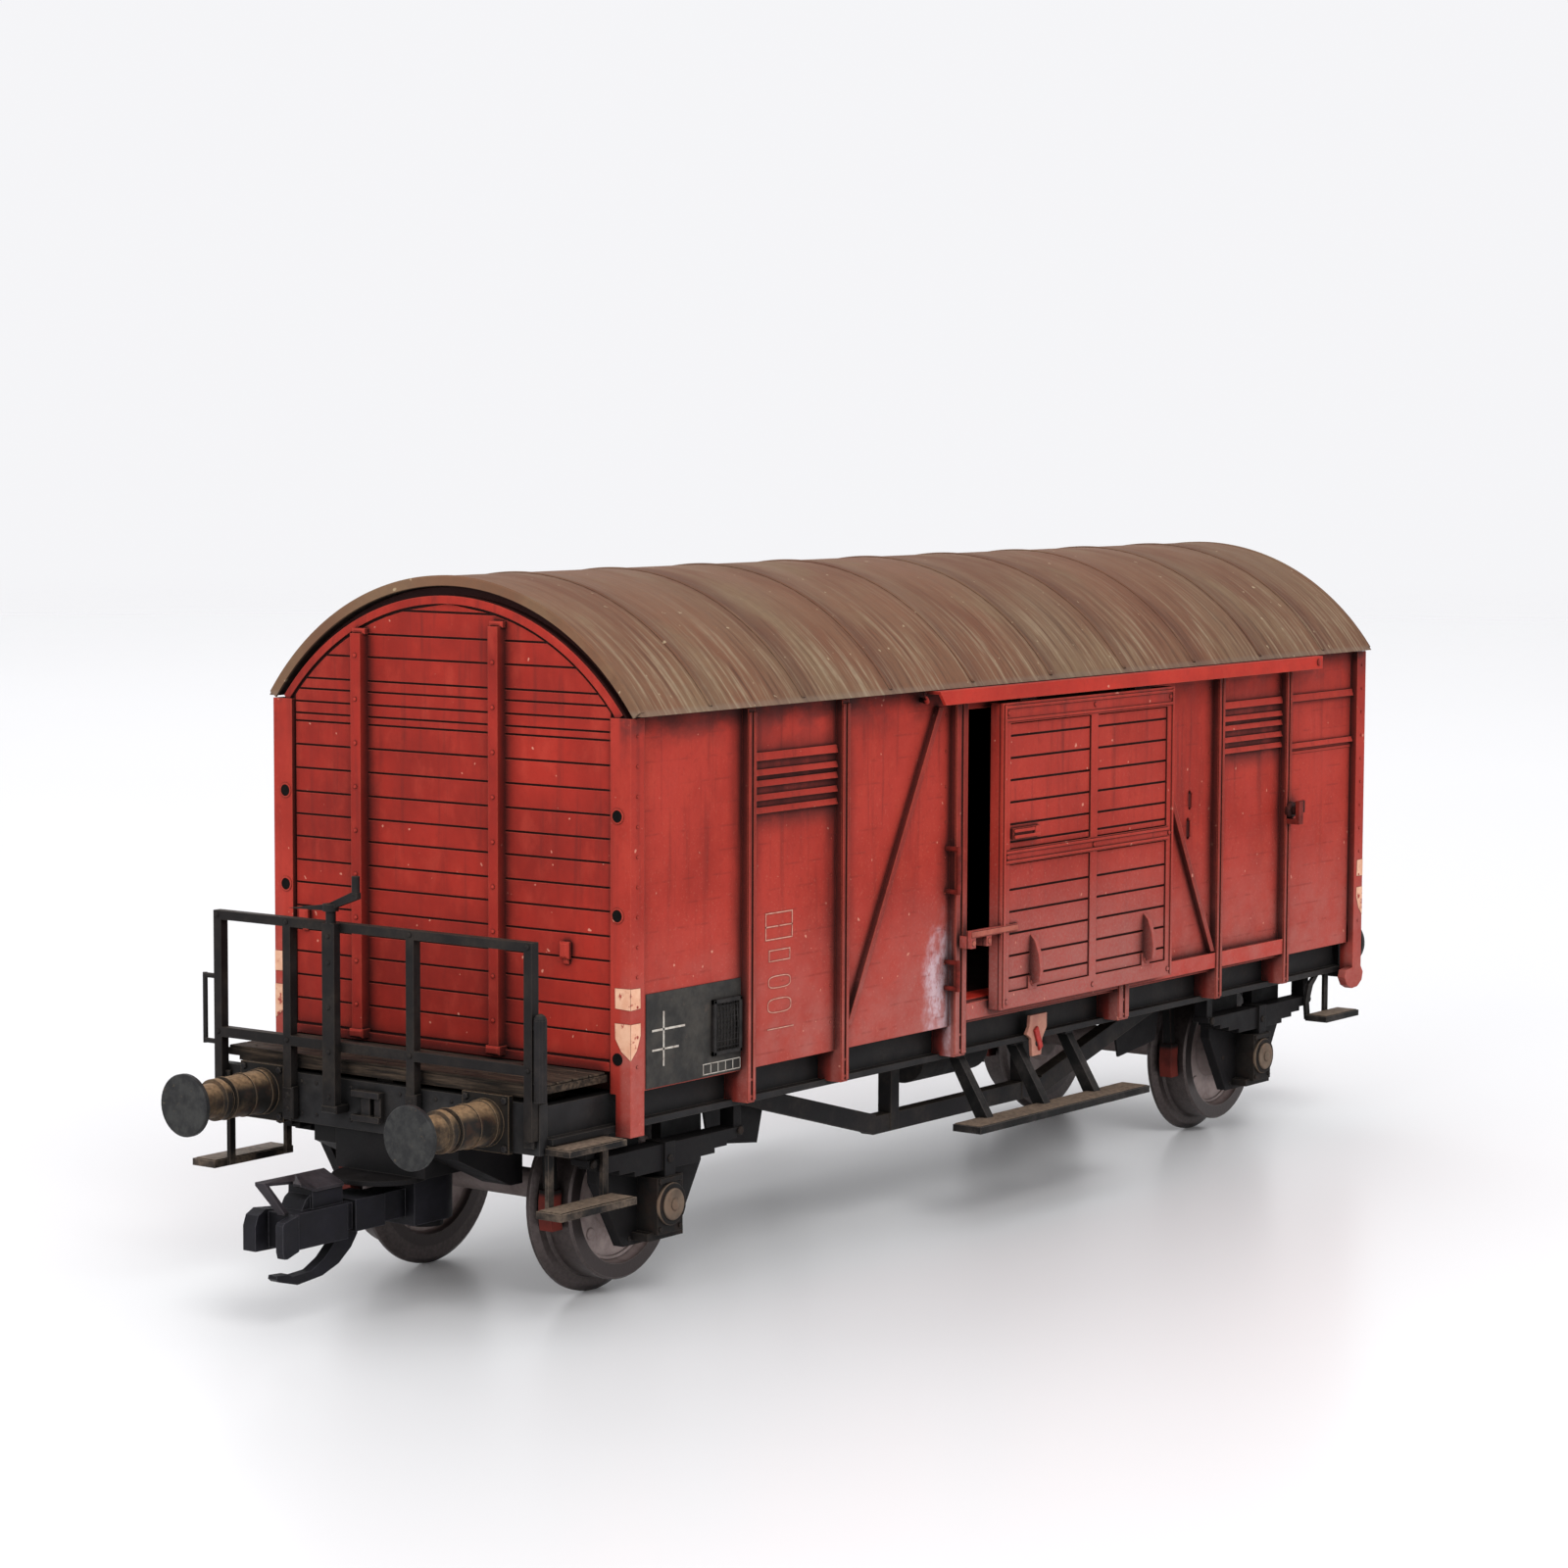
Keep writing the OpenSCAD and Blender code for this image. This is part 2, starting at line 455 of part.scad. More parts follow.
// ---------------------------------------------------------------- buffers and draw gear
module buffer_sleeve() translate([head_x, 0, buffer_z]) {
  bx([0, -1.45, -1.4], [0.3, 1.45, 1.4]);
  rotate([0, 90, 0]) rotate_extrude($fn = 64) polygon([[0, 0.29], [1.16, 0.29], [1.08, 0.6], [1.02, 3.1],
      [0.88, 3.15], [0.88, 3.35], [1.04, 3.4], [1.04, 3.75], [0.86, 3.85], [0.84, 4.9], [0, 4.9]]);
}
module buffer_sleeves() color([0.38, 0.3, 0.24]) both_ends() both_sides() translate([0, -buffer_y,
    0]) buffer_sleeve();
module buffer_heads() color([0.22, 0.22, 0.23]) both_ends() both_sides() translate([head_x, -buffer_y,
    buffer_z])
  rotate([0, 90, 0]) rotate_extrude($fn = 64) polygon([[0, 4.9 + e], [0.75, 4.9 + e], [0.8, 5.3],
      [buffer_r - 0.2, 5.44], [buffer_r, 5.52], [buffer_r, buffer_x - head_x - 0.05], [buffer_r - 0.05,
      buffer_x - head_x], [0, buffer_x - head_x]]);
module drawhook() {
  bx([head_x, -0.9, 9.3], [head_x + 0.45, 0.9, 9.6]);
  bx([head_x, -0.9, 10.5], [head_x + 0.45, 0.9, 10.8]);
  bx([head_x, 0.5, 9.3], [head_x + 0.3, 0.9, 10.8]);
  bx([head_x, -0.35, 9.59], [head_x + 0.3, 0.2, 10.51]);
}
module drawhooks() color([0.22, 0.21, 0.2]) { drawhook();
    translate([0, 0.3, 0]) rotate([0, 0, 180]) drawhook(); }

// guides: housing over the coupling's eye, its curved lip in front, and a cheek on each side
module coupling_guides() color([0.13, 0.13, 0.13]) both_ends() {
  bx([34.6, -2.9, 6.74], [38.9, 2.9, 8.7]);
  bx([34.6, -1.4, 8.69], [head_x - 0.62, 1.4, pan_z0]);
  translate([38.9, 0, 6.5]) cylinder(h = 0.25, r = 2.35, $fn = 64);
  both_sides() xz(2.89, 4.7) polygon([[38.5, 7.8], [34.6, 6.0], [33.7, 6.0], [33.7, pan_z0], [38.5, pan_z0]]);
}
// pins the couplings turn on, with a head under the eye
module coupling_pins() color([0.13, 0.13, 0.13]) both_ends() translate([pivot_x, 0, 0]) {
  translate([0, 0, 3.95]) cylinder(h = 6.73 - 3.95, r = 0.55, $fn = 40);
  translate([0, 0, 3.7]) cylinder(h = 0.26, r = 0.9, $fn = 40);
}
// coupling: eye, shank, body with two jaws, trip wire under it; built at the plain end
module coupling() color([0.12, 0.12, 0.13]) {
  difference() {
    union() {
      translate([pivot_x, 0, 4.1]) cylinder(h = 2.3, r = 1.35, $fn = 48);
      bx([pivot_x, -1.35, 4.1], [37.9, 1.35, 6.4]);
      bx([37.89, -0.75, 4.5], [40.0, 0.75, 5.9]);
    }
    translate([pivot_x, 0, 3.5]) cylinder(h = 4, r = 0.62, $fn = 40);
  }
  bx([39.8, -1.15, 4.45], [41.9, 1.15, 6.0]);
  bx([41.89, -0.9, 4.55], [42.46, 0.9, 5.85]);
  bx([42.45, -1.15, 4.2], [46.2, 1.15, 5.93]);
  // slanted hump the bow lies on
  yz(42.5, 44.6) polygon([[0.85, 5.92], [0.85, 6.8], [-0.3, 7.3], [-0.7, 7.0], [-0.75, 5.92]]);
  xz(-0.7, 0.7) polygon([[44.59, 5.92], [44.59, 6.6], [44.9, 6.4], [45.2, 5.92]]);
  // jaws: upright plate with a pointed foot, and a rounded block
  xz(-1.39, -0.93) polygon([[46.1, 5.93], [tip_x - 0.1, 5.7], [tip_x, 5.55], [tip_x, 4.3], [tip_x - 0.1,
      3.97], [tip_x - 0.3, 3.95], [46.1, 4.2]]);
  xz(0.5, 1.3) polygon([[45.2, 4.05], [tip_x - 0.1, 4.1], [tip_x - 0.1, 5.3], [tip_x - 0.3, 5.8],
      [tip_x - 0.8, 6.05], [45.2, 5.93]]);
  // trip wire
  xz(-0.28, 0.28) polygon([[40.8, 4.5], [40.85, 4.1], [41.3, 3.5], [42.17, 2.85], [43.33, 2.44],
      [45.06, 2.27], [46.3, 2.6], [46.5, 2.75],
    [46.45, 2.93], [45.62, 2.88], [45.4, 2.73], [44.1, 2.8], [43.2, 3.25], [42.5, 3.86], [42.2, 4.3]]);
}
module coupling_plain_end() coupling();
module coupling_platform_end() rotate([0, 0, 180]) coupling();
// bow: a slanted strip on the hump, forward and down to the jaw
module bow() color([0.3, 0.29, 0.3]) {
  yz(42.5, 44.5) polygon([[0.95, 6.77], [0.95, 6.92], [-0.35, 7.48], [-0.35, 7.335]]);
  hull() { yz(44.4, 44.5) polygon([[0.95, 6.77], [0.95, 6.92], [-0.35, 7.48], [-0.35, 7.335]]);
      bx([45.3, 0.3, 7.1], [45.35, 0.8, 7.22]); }
  hull() { yz(44.4, 44.5) polygon([[0.2, 7.1], [0.2, 7.24], [-0.35, 7.48], [-0.35, 7.335]]);
      bx([46.9, -0.5, 7.3], [47.1, 0.1, 7.45]); }
  hull() { bx([46.9, -0.5, 7.3], [47.1, 0.1, 7.45]); bx([46.3, 0.5, 5.94], [46.6, 0.9, 6.04]); }
}
module coupling_bow_plain_end() bow();
module coupling_bow_platform_end() rotate([0, 0, 180]) bow();

// ---------------------------------------------------------------- small fittings
module changeover() {
  xz(sole_y + e, sole_y + 0.2) polygon([[2.45, 10.6], [4.15, 10.6], [4.15, 9.8], [3.7, 9.2], [3.6, 8.3],
      [2.7, 8.3], [2.6, 9.3], [2.1, 9.6], [2.4, 10.0]]);
}
module changeover_plates() color([0.72, 0.5, 0.35]) { changeover(); far() changeover(); }
module lamp_iron() {
  nb(29.35, 29.85, post_y, post_y + 0.95, 19.2, 19.5);
  nb(29.35, 29.85, post_y + 0.7, post_y + 0.95, 19.2, 20.6);
}
module lamp_irons() color([0.2, 0.16, 0.15]) { lamp_iron(); far() lamp_iron(); }

load_floor();
side_wall_near();
side_wall_far();
side_posts_near();
side_posts_far();
louvres();
end_wall_platform();
end_wall_plain();
corner_posts();
roof();
door_near();
door_far();
door_rails_near();
door_rails_far();
underframe_plate();
steel_weight();
solebars();
headstocks();
axle_guards();
leaf_springs();
axle_boxes();
axle_platform_end();
wheels_platform_end();
axle_plain_end();
wheels_plain_end();
brake_shoes();
brake_beams();
brake_rod();
brake_cylinder();
brake_brackets();
truss_bars();
door_steps();
corner_steps_platform();
corner_steps_plain();
platform_deck();
platform_railing();
brake_column();
brake_crank();
grab_handles();
door_post_handles();
buffer_sleeves();
buffer_heads();
drawhooks();
coupling_guides();
coupling_pins();
coupling_platform_end();
coupling_bow_platform_end();
coupling_plain_end();
coupling_bow_plain_end();
changeover_plates();
lamp_irons();
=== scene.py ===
import math
import bmesh
import bpy
from mathutils import Matrix, Vector


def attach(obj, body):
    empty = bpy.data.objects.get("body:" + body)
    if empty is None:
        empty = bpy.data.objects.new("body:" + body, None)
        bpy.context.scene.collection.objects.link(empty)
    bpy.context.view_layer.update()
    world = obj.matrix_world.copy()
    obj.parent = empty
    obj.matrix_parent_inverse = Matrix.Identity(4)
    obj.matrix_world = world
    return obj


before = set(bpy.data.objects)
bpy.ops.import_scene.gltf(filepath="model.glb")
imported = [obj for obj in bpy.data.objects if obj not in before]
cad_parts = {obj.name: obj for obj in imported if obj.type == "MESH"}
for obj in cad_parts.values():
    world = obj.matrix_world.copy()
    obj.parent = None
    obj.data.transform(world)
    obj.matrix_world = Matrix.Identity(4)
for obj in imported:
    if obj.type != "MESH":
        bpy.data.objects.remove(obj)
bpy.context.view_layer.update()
MM = 0.001

# The frame's places, in millimetres, that the details below are set on
END_FACES = ((-33.6, -1), (38.9, 1))
CORNER_FACES = ((-33.9, -1), (39.2, 1))
BODY_C = 2.65
WALL_Y = -11.26
CORNER_Y = 11.66
DOOR_Y = 12.4
AXLE_X, AXLE_Z = 29.2, 4.95
BUFFER_Y, BUFFER_Z = 7.29, 10.1
ROOF_Z = 20.93
FIRST_SEAM_X, SEAM_STEP = -28.1, 7.65
POSTS = (-24.3, -16.3, 21.6, 29.6)
DOOR_POSTS = (-5.68, 10.98)


# ------------------------------------------------------------------ materials
def lin(r, g, b):
    """A colour given as it looks on screen, 0-255."""
    f = lambda c: c / 12.92 if c <= 0.04045 else ((c + 0.055) / 1.055) ** 2.4
    return (f(r / 255), f(g / 255), f(b / 255), 1.0)


class Graph:
    """A material whose masks are worked out from the object's own place in millimetres."""

    def __init__(self, name):
        self.mat = bpy.data.materials.new(name)
        self.mat.use_nodes = True
        self.tree = self.mat.node_tree
        self.tree.nodes.clear()
        out = self.node("ShaderNodeOutputMaterial")
        self.bsdf = self.node("ShaderNodeBsdfPrincipled")
        self.link(self.bsdf.outputs["BSDF"], out.inputs["Surface"])
        tc = self.node("ShaderNodeTexCoord")
        scale = self.node("ShaderNodeVectorMath")
        scale.operation = "SCALE"
        scale.inputs["Scale"].default_value = 1000.0
        self.link(tc.outputs["Object"], scale.inputs[0])
        self.P = scale.outputs[0]
        sep = self.node("ShaderNodeSeparateXYZ")
        self.link(self.P, sep.inputs[0])
        self.x, self.y, self.z = sep.outputs

    def node(self, kind):
        return self.tree.nodes.new(kind)

    def link(self, a, b):
        self.tree.links.new(a, b)

    def put(self, socket, value):
        if isinstance(value, bpy.types.NodeSocket):
            self.link(value, socket)
        else:
            socket.default_value = value

    def math(self, op, a, b=0.0, c=None, clamp=False):
        n = self.node("ShaderNodeMath")
        n.operation = op
        n.use_clamp = clamp
        self.put(n.inputs[0], a)
        self.put(n.inputs[1], b)
        if c is not None:
            self.put(n.inputs[2], c)
        return n.outputs[0]

    def noise(self, scale, detail=4.0, stretch=(1, 1, 1), rough=0.55, shift=0.0):
        m = self.node("ShaderNodeMapping")
        m.inputs["Scale"].default_value = stretch
        m.inputs["Location"].default_value = (shift, shift * 1.7, shift * 0.6)
        m.inputs["Rotation"].default_value = (0.61, 0.43, 0.79)
        self.link(self.P, m.inputs["Vector"])
        n = self.node("ShaderNodeTexNoise")
        n.inputs["Scale"].default_value = scale
        n.inputs["Detail"].default_value = detail
        n.inputs["Roughness"].default_value = rough
        self.link(m.outputs[0], n.inputs["Vector"])
        return n.outputs["Fac"]

    def ramp(self, v, lo, hi, to0=0.0, to1=1.0):
        n = self.node("ShaderNodeMapRange")
        n.interpolation_type = "SMOOTHSTEP"
        for key, val in (("Value", v), ("From Min", lo), ("From Max", hi), ("To Min", to0), ("To Max", to1)):
            self.put(n.inputs[key], val)
        return n.outputs[0]

    def mix(self, fac, a, b):
        n = self.node("ShaderNodeMix")
        n.data_type = "RGBA"
        self.put(n.inputs[0], fac)
        self.put(n.inputs[6], a)
        self.put(n.inputs[7], b)
        return n.outputs[2]

    def mul(self, *v):
        out = v[0]
        for w in v[1:]:
            out = self.math("MULTIPLY", out, w)
        return out

    def near(self, v, centre, half, soft):
        """1 where v is within half of centre, fading over soft."""
        d = self.math("ABSOLUTE", self.math("SUBTRACT", v, centre))
        return self.ramp(d, half, half + soft, 1.0, 0.0)

    def corner_shade(self, distance, lo=0.35, hi=0.95):
        """Painted shade: 1 in the corners and creases that ambient light hardly reaches, 0 in the open."""
        n = self.node("ShaderNodeAmbientOcclusion")
        n.samples = 6
        n.inputs["Distance"].default_value = distance * MM
        return self.ramp(n.outputs["AO"], lo, hi, 1.0, 0.0)

    def edges(self, radius):
        """(edge mask, softened normal)."""
        bev = self.node("ShaderNodeBevel")
        bev.samples = 4
        bev.inputs["Radius"].default_value = radius * MM
        geo = self.node("ShaderNodeNewGeometry")
        dot = self.node("ShaderNodeVectorMath")
        dot.operation = "DOT_PRODUCT"
        self.link(bev.outputs[0], dot.inputs[0])
        self.link(geo.outputs["Normal"], dot.inputs[1])
        return self.ramp(dot.outputs["Value"], 0.72, 0.99, 1.0, 0.0), bev.outputs[0]

    def up(self):
        """1 on faces that look up."""
        geo = self.node("ShaderNodeNewGeometry")
        sep = self.node("ShaderNodeSeparateXYZ")
        self.link(geo.outputs["Normal"], sep.inputs[0])
        return self.ramp(sep.outputs[2], 0.35, 0.9)

    def finish(self, colour, rough, height=None, amount=0.1, spec=0.35, metal=0.0, normal=None, depth=0.05):
        self.put(self.bsdf.inputs["Base Color"], colour)
        self.put(self.bsdf.inputs["Roughness"], rough)
        self.bsdf.inputs["Specular IOR Level"].default_value = spec
        self.put(self.bsdf.inputs["Metallic"], metal)
        if height is not None:
            b = self.node("ShaderNodeBump")
            b.inputs["Strength"].default_value = amount
            b.inputs["Distance"].default_value = depth * MM
            self.link(height, b.inputs["Height"])
            if normal is not None:
                self.link(normal, b.inputs["Normal"])
            self.link(b.outputs[0], self.bsdf.inputs["Normal"])
        elif normal is not None:
            self.link(normal, self.bsdf.inputs["Normal"])
        return self.mat


def red_paint(name, seams=False, gap_shade=None, wall=False, light=(168, 53, 42), dark=(146, 41, 31), edge_wear_and_highlight=0.5,
              top_darkening=1.0):
    """Weathered red-brown. The gap function, if given, gives a mask of the bottom of a gap, which gets
    painted shade.
    """
    g = Graph(name)
    ay = g.math("ABSOLUTE", g.y)
    big = g.noise(0.16, 4, shift=3)
    mid = g.noise(0.75, 5, (1, 1, 0.6), 0.6, shift=9)
    fine = g.noise(3.6, 3, shift=1)
    col = g.mix(g.ramp(big, 0.3, 0.7), lin(*dark), lin(*light))
    col = g.mix(g.mul(g.ramp(mid, 0.45, 0.75), 0.35), col, lin(178, 66, 52))
    col = g.mix(g.mul(g.ramp(fine, 0.5, 0.8), 0.25), col, lin(112, 34, 28))
    grit = g.noise(7.0, 2, shift=8)
    # soot runs down from the top and beside the posts, stronger higher up; the sides also darken in a mottled
    # band just under the roof
    run = g.ramp(g.noise(1.0, 5, (1.7, 1.7, 0.1), 0.6, shift=5), 0.5, 0.74)
    col = g.mix(g.mul(run, g.ramp(g.z, 13, 28, 0.12 * top_darkening, 0.5 * top_darkening)), col, lin(84, 30, 27))
    top = g.mul(g.ramp(g.z, 26.6, 29.4), g.ramp(g.noise(0.5, 4, (1, 1, 1.6), shift=2), 0.36, 0.62),
                g.ramp(ay, 10.9, 11.1))
    col = g.mix(g.mul(top, 0.75 * top_darkening), col, lin(74, 34, 32))
    # pale dust low on the sides
    dust = g.mul(g.ramp(g.z, 20.5, 10.8), g.ramp(g.noise(0.45, 6, (1, 1, 1.4), 0.7, shift=7), 0.25, 0.75,
                                                 0.25, 1.0), g.ramp(ay, 10.9, 11.2))
    col = g.mix(g.mul(dust, 0.62), col, lin(166, 104, 96))
    film = g.mul(g.ramp(g.z, 20.5, 12.5), g.near(g.x, 2.5, 7.0, 9.0), g.ramp(ay, 10.9, 11.2))
    col = g.mix(g.mul(film, g.ramp(grit, 0.3, 0.7, 0.3, 0.75)), col, lin(150, 98, 92))
    col = g.mix(g.mul(g.ramp(grit, 0.6, 0.72), g.ramp(g.z, 30, 12, 0.05, 0.3), g.ramp(ay, 10.9, 11.2)), col,
                lin(190, 112, 96))
    # chalky patch left of the doorway, on the near side
    dx = g.math("DIVIDE", g.math("SUBTRACT", g.x, -6.6), 1.9)
    dz = g.math("DIVIDE", g.math("SUBTRACT", g.z, 13.2), 3.7)
    rad = g.math("SQRT", g.math("ADD", g.mul(dx, dx), g.mul(dz, dz)))
    rad = g.math("ADD", rad, g.math("MULTIPLY", g.math("SUBTRACT", g.noise(0.9, 5, shift=4), 0.5), 1.5))
    chalk = g.mul(g.ramp(rad, 1.2, 0.5), g.ramp(g.y, -10.8, -11.1), g.ramp(ay, 11.5, 11.4),
                  g.ramp(fine, 0.2, 0.55, 0.35, 1.0))
    col = g.mix(g.mul(chalk, g.ramp(g.noise(2.2, 5, (1, 1, 0.5), 0.7, shift=6), 0.36, 0.56, 0.25, 0.95)),
                col, lin(196, 170, 176))
    # specks of dried paint
    spot = g.ramp(g.noise(2.4, 1, shift=12), 0.765, 0.79)
    col = g.mix(g.mul(spot, 0.6), col, lin(214, 150, 128))
    height = g.math("ADD", g.mul(fine, 0.5), g.mul(mid, 0.5))
    if seams:
        # board joints; darker streaky bands each side of the posts, stronger higher up, partly wash and
        # partly painted shadow of the posts; and darker patches round the louvres
        s = g.math("FRACT", g.math("DIVIDE", g.math("SUBTRACT", g.z, 12.25), 1.18))
        line = g.mul(g.near(s, 0.5, 0.012, 0.06), g.ramp(g.noise(0.5, 4, (1.6, 1, 2.4), shift=31), 0.46,
                                                         0.62))
        col = g.mix(g.mul(line, 0.3), col, lin(104, 36, 30))
        height = g.math("SUBTRACT", height, g.mul(line, 0.4))
        xs = g.x
        flip = g.math("SUBTRACT", 2 * BODY_C, g.x)
        sign = g.ramp(g.y, -0.5, 0.5)
        xs = g.math("ADD", g.mul(xs, g.math("SUBTRACT", 1.0, sign)), g.mul(flip, sign))
        for px, soft in ((-24.3, 1.3), (-16.3, 1.5), (-5.68, 0.75), (10.98, 1.1), (21.6, 1.1), (29.6, 1.1)):
            side = g.near(xs, px, 0.3, soft)
            col = g.mix(g.mul(side, g.ramp(g.noise(0.8, 4, (1, 1, 0.25), shift=px), 0.3, 0.6, 0.15, 0.8),
                              g.ramp(g.z, 13, 21, 0.2, 0.85)), col, lin(62, 24, 22))
        for lx in (-20.3, 25.6):
            nest = g.mul(g.near(xs, lx, 3.2, 0.8), g.near(g.z, 25.2, 1.4, 1.3))
            col = g.mix(g.mul(nest, g.ramp(mid, 0.3, 0.6, 0.35, 0.75)), col, lin(66, 26, 24))
    # painted shade: darker in corners and creases
    g1 = g.corner_shade(1.2, 0.5, 0.99)
    col = g.mix(g.mul(g1, 0.95), col, lin(34, 14, 13))
    # lighter edges: partly wear, partly painted highlight
    edge, soft = g.edges(0.09)
    col = g.mix(g.mul(edge, edge_wear_and_highlight), col, lin(205, 88, 68))
    # painted shade: the bottom of a gap made near black
    if gap_shade is not None:
        col = g.mix(gap_shade(g), col, lin(40, 15, 13))
    if wall:
        # unlit inside of the box
        inside = g.mul(g.ramp(ay, 10.5, 10.4), g.ramp(g.x, -32.9, -32.6), g.ramp(g.x, 38.2, 37.9))
        inside = g.mul(inside, g.ramp(ay, 9.9, 9.6) if wall == "floor" else 1.0)
        col = g.mix(g.mul(inside, 0.93), col, lin(16, 10, 10))
    return g.finish(col, g.ramp(mid, 0.2, 0.8, 0.62, 0.8), height, 0.35, 0.16, normal=soft, depth=0.04)


def black_paint(name, dust=0.4, base=(23, 22, 23), tint=(92, 80, 68), edge_amount=0.35, rust=0.0, metal=0.0,
                rough=0.6, plate_x=None, top_z=None):
    """Near-black moulded plastic with brown dust on what looks up, which also stands for painted highlights
    on the tops, worn edges that also carry painted highlights, and painted shade in the corners.
    """
    g = Graph(name)
    mid = g.noise(0.7, 5, rough=0.62, shift=2)
    fine = g.noise(4.5, 4, rough=0.6, shift=6)
    b = lin(*base)
    col = g.mix(g.ramp(mid, 0.3, 0.7), b, lin(*[min(255, int(c * 1.35 + 5)) for c in base]))
    patch = g.mul(g.ramp(g.noise(0.5, 5, shift=11), 0.42, 0.68), g.ramp(fine, 0.3, 0.7, 0.4, 1.0))
    col = g.mix(g.mul(patch, dust * 0.5), col, lin(*tint))
    if rust:
        r = g.mul(g.ramp(g.noise(1.4, 5, shift=21), 0.48, 0.62), rust)
        col = g.mix(r, col, lin(128, 74, 44))
    # brown on faces that look up: partly dust, partly painted highlight on the tops
    up = g.up()
    col = g.mix(g.mul(up, g.ramp(fine, 0.25, 0.7, 0.35, 1.0), dust), col, lin(*tint))
    if top_z:
        # the hanger above is black
        col = g.mix(g.ramp(g.z, top_z, top_z + 0.3), col, lin(14, 13, 13))
    if plate_x:
        # the mounting plate stays dark
        col = g.mix(g.ramp(g.math("ABSOLUTE", g.x), plate_x, plate_x - 0.15, 0.0, 0.85), col, b)
    # painted shade: darker in corners and creases
    shade_ao = g.corner_shade(1.4)
    col = g.mix(g.mul(shade_ao, 0.9), col, lin(5, 5, 5))
    # lighter edges: partly wear, partly painted highlight
    edge, soft = g.edges(0.07)
    col = g.mix(g.mul(edge, edge_amount), col, lin(*[min(255, c + 24) for c in tint]))
    height = g.math("ADD", g.mul(fine, 0.6), g.mul(mid, 0.4))
    return g.finish(col, g.ramp(mid, 0.25, 0.75, rough - 0.08, rough + 0.14), height, 0.4, 0.15, metal,
                    normal=soft, depth=0.04)


def roof_paint():
    """Weathered brown sheet, with rain streaks, and painted shade (black) below."""
    g = Graph("roof_weathered")
    big = g.noise(0.09, 4, (1.3, 0.5, 0.5), shift=4)
    mid = g.noise(0.42, 5, (1.2, 0.35, 0.35), 0.6, shift=8)
    run = g.noise(1.0, 6, (3.2, 0.16, 0.16), 0.65, shift=1)
    fine = g.noise(3.0, 4, shift=3)
    col = g.mix(g.ramp(big, 0.32, 0.68), lin(116, 80, 60), lin(112, 86, 66))
    col = g.mix(g.mul(g.ramp(mid, 0.42, 0.7), 0.6), col, lin(102, 66, 52))
    col = g.mix(g.mul(g.ramp(g.noise(0.3, 4, (1, 0.5, 0.5), shift=15), 0.5, 0.72), 0.6), col,
                lin(122, 100, 76))
    low = g.ramp(g.z, 35.4, 30.5)
    col = g.mix(g.mul(g.ramp(run, 0.5, 0.66), g.math("ADD", g.mul(low, 0.62), 0.05)), col, lin(150, 132, 108))
    col = g.mix(g.mul(g.ramp(run, 0.47, 0.34), g.math("ADD", g.mul(low, 0.5), 0.1)), col, lin(70, 48, 38))
    # darker bands beside the sheet joints
    s = g.math("FRACT", g.math("DIVIDE", g.math("SUBTRACT", g.x, FIRST_SEAM_X), SEAM_STEP))
    band = g.math("ADD", g.ramp(s, 0.0, 0.26, 1.0, 0.0), g.ramp(s, 0.93, 1.0, 0.0, 0.7), clamp=True)
    col = g.mix(g.mul(band, 0.5, g.ramp(mid, 0.3, 0.6, 0.4, 1.0)), col, lin(78, 50, 42))
    end = g.near(g.z, 29.3, 0.12, 0.25)
    col = g.mix(g.mul(end, 0.3), col, lin(128, 116, 104))
    spot = g.ramp(g.noise(2.2, 1, shift=12), 0.76, 0.79)
    col = g.mix(g.mul(spot, 0.5), col, lin(190, 172, 140))
    col = g.mix(g.mul(g.ramp(fine, 0.4, 0.75), 0.25), col, lin(96, 78, 64))
    # painted shade: the underside of the sheet is made black
    drop = g.math("POWER", g.math("SUBTRACT", g.z, ROOF_Z), 2.0)
    under = g.math("SQRT", g.math("ADD", g.mul(g.y, g.y), drop))
    col = g.mix(g.ramp(under, 14.29, 14.26), col, lin(16, 13, 12))
    # painted shade: darker in corners and creases
    shade_ao = g.corner_shade(0.8)
    col = g.mix(g.mul(shade_ao, 0.7), col, lin(34, 24, 21))
    height = g.math("ADD", g.mul(run, 0.8), g.mul(fine, 0.3))
    return g.finish(col, g.ramp(mid, 0.3, 0.7, 0.68, 0.84), height, 0.45, 0.12, depth=0.06)


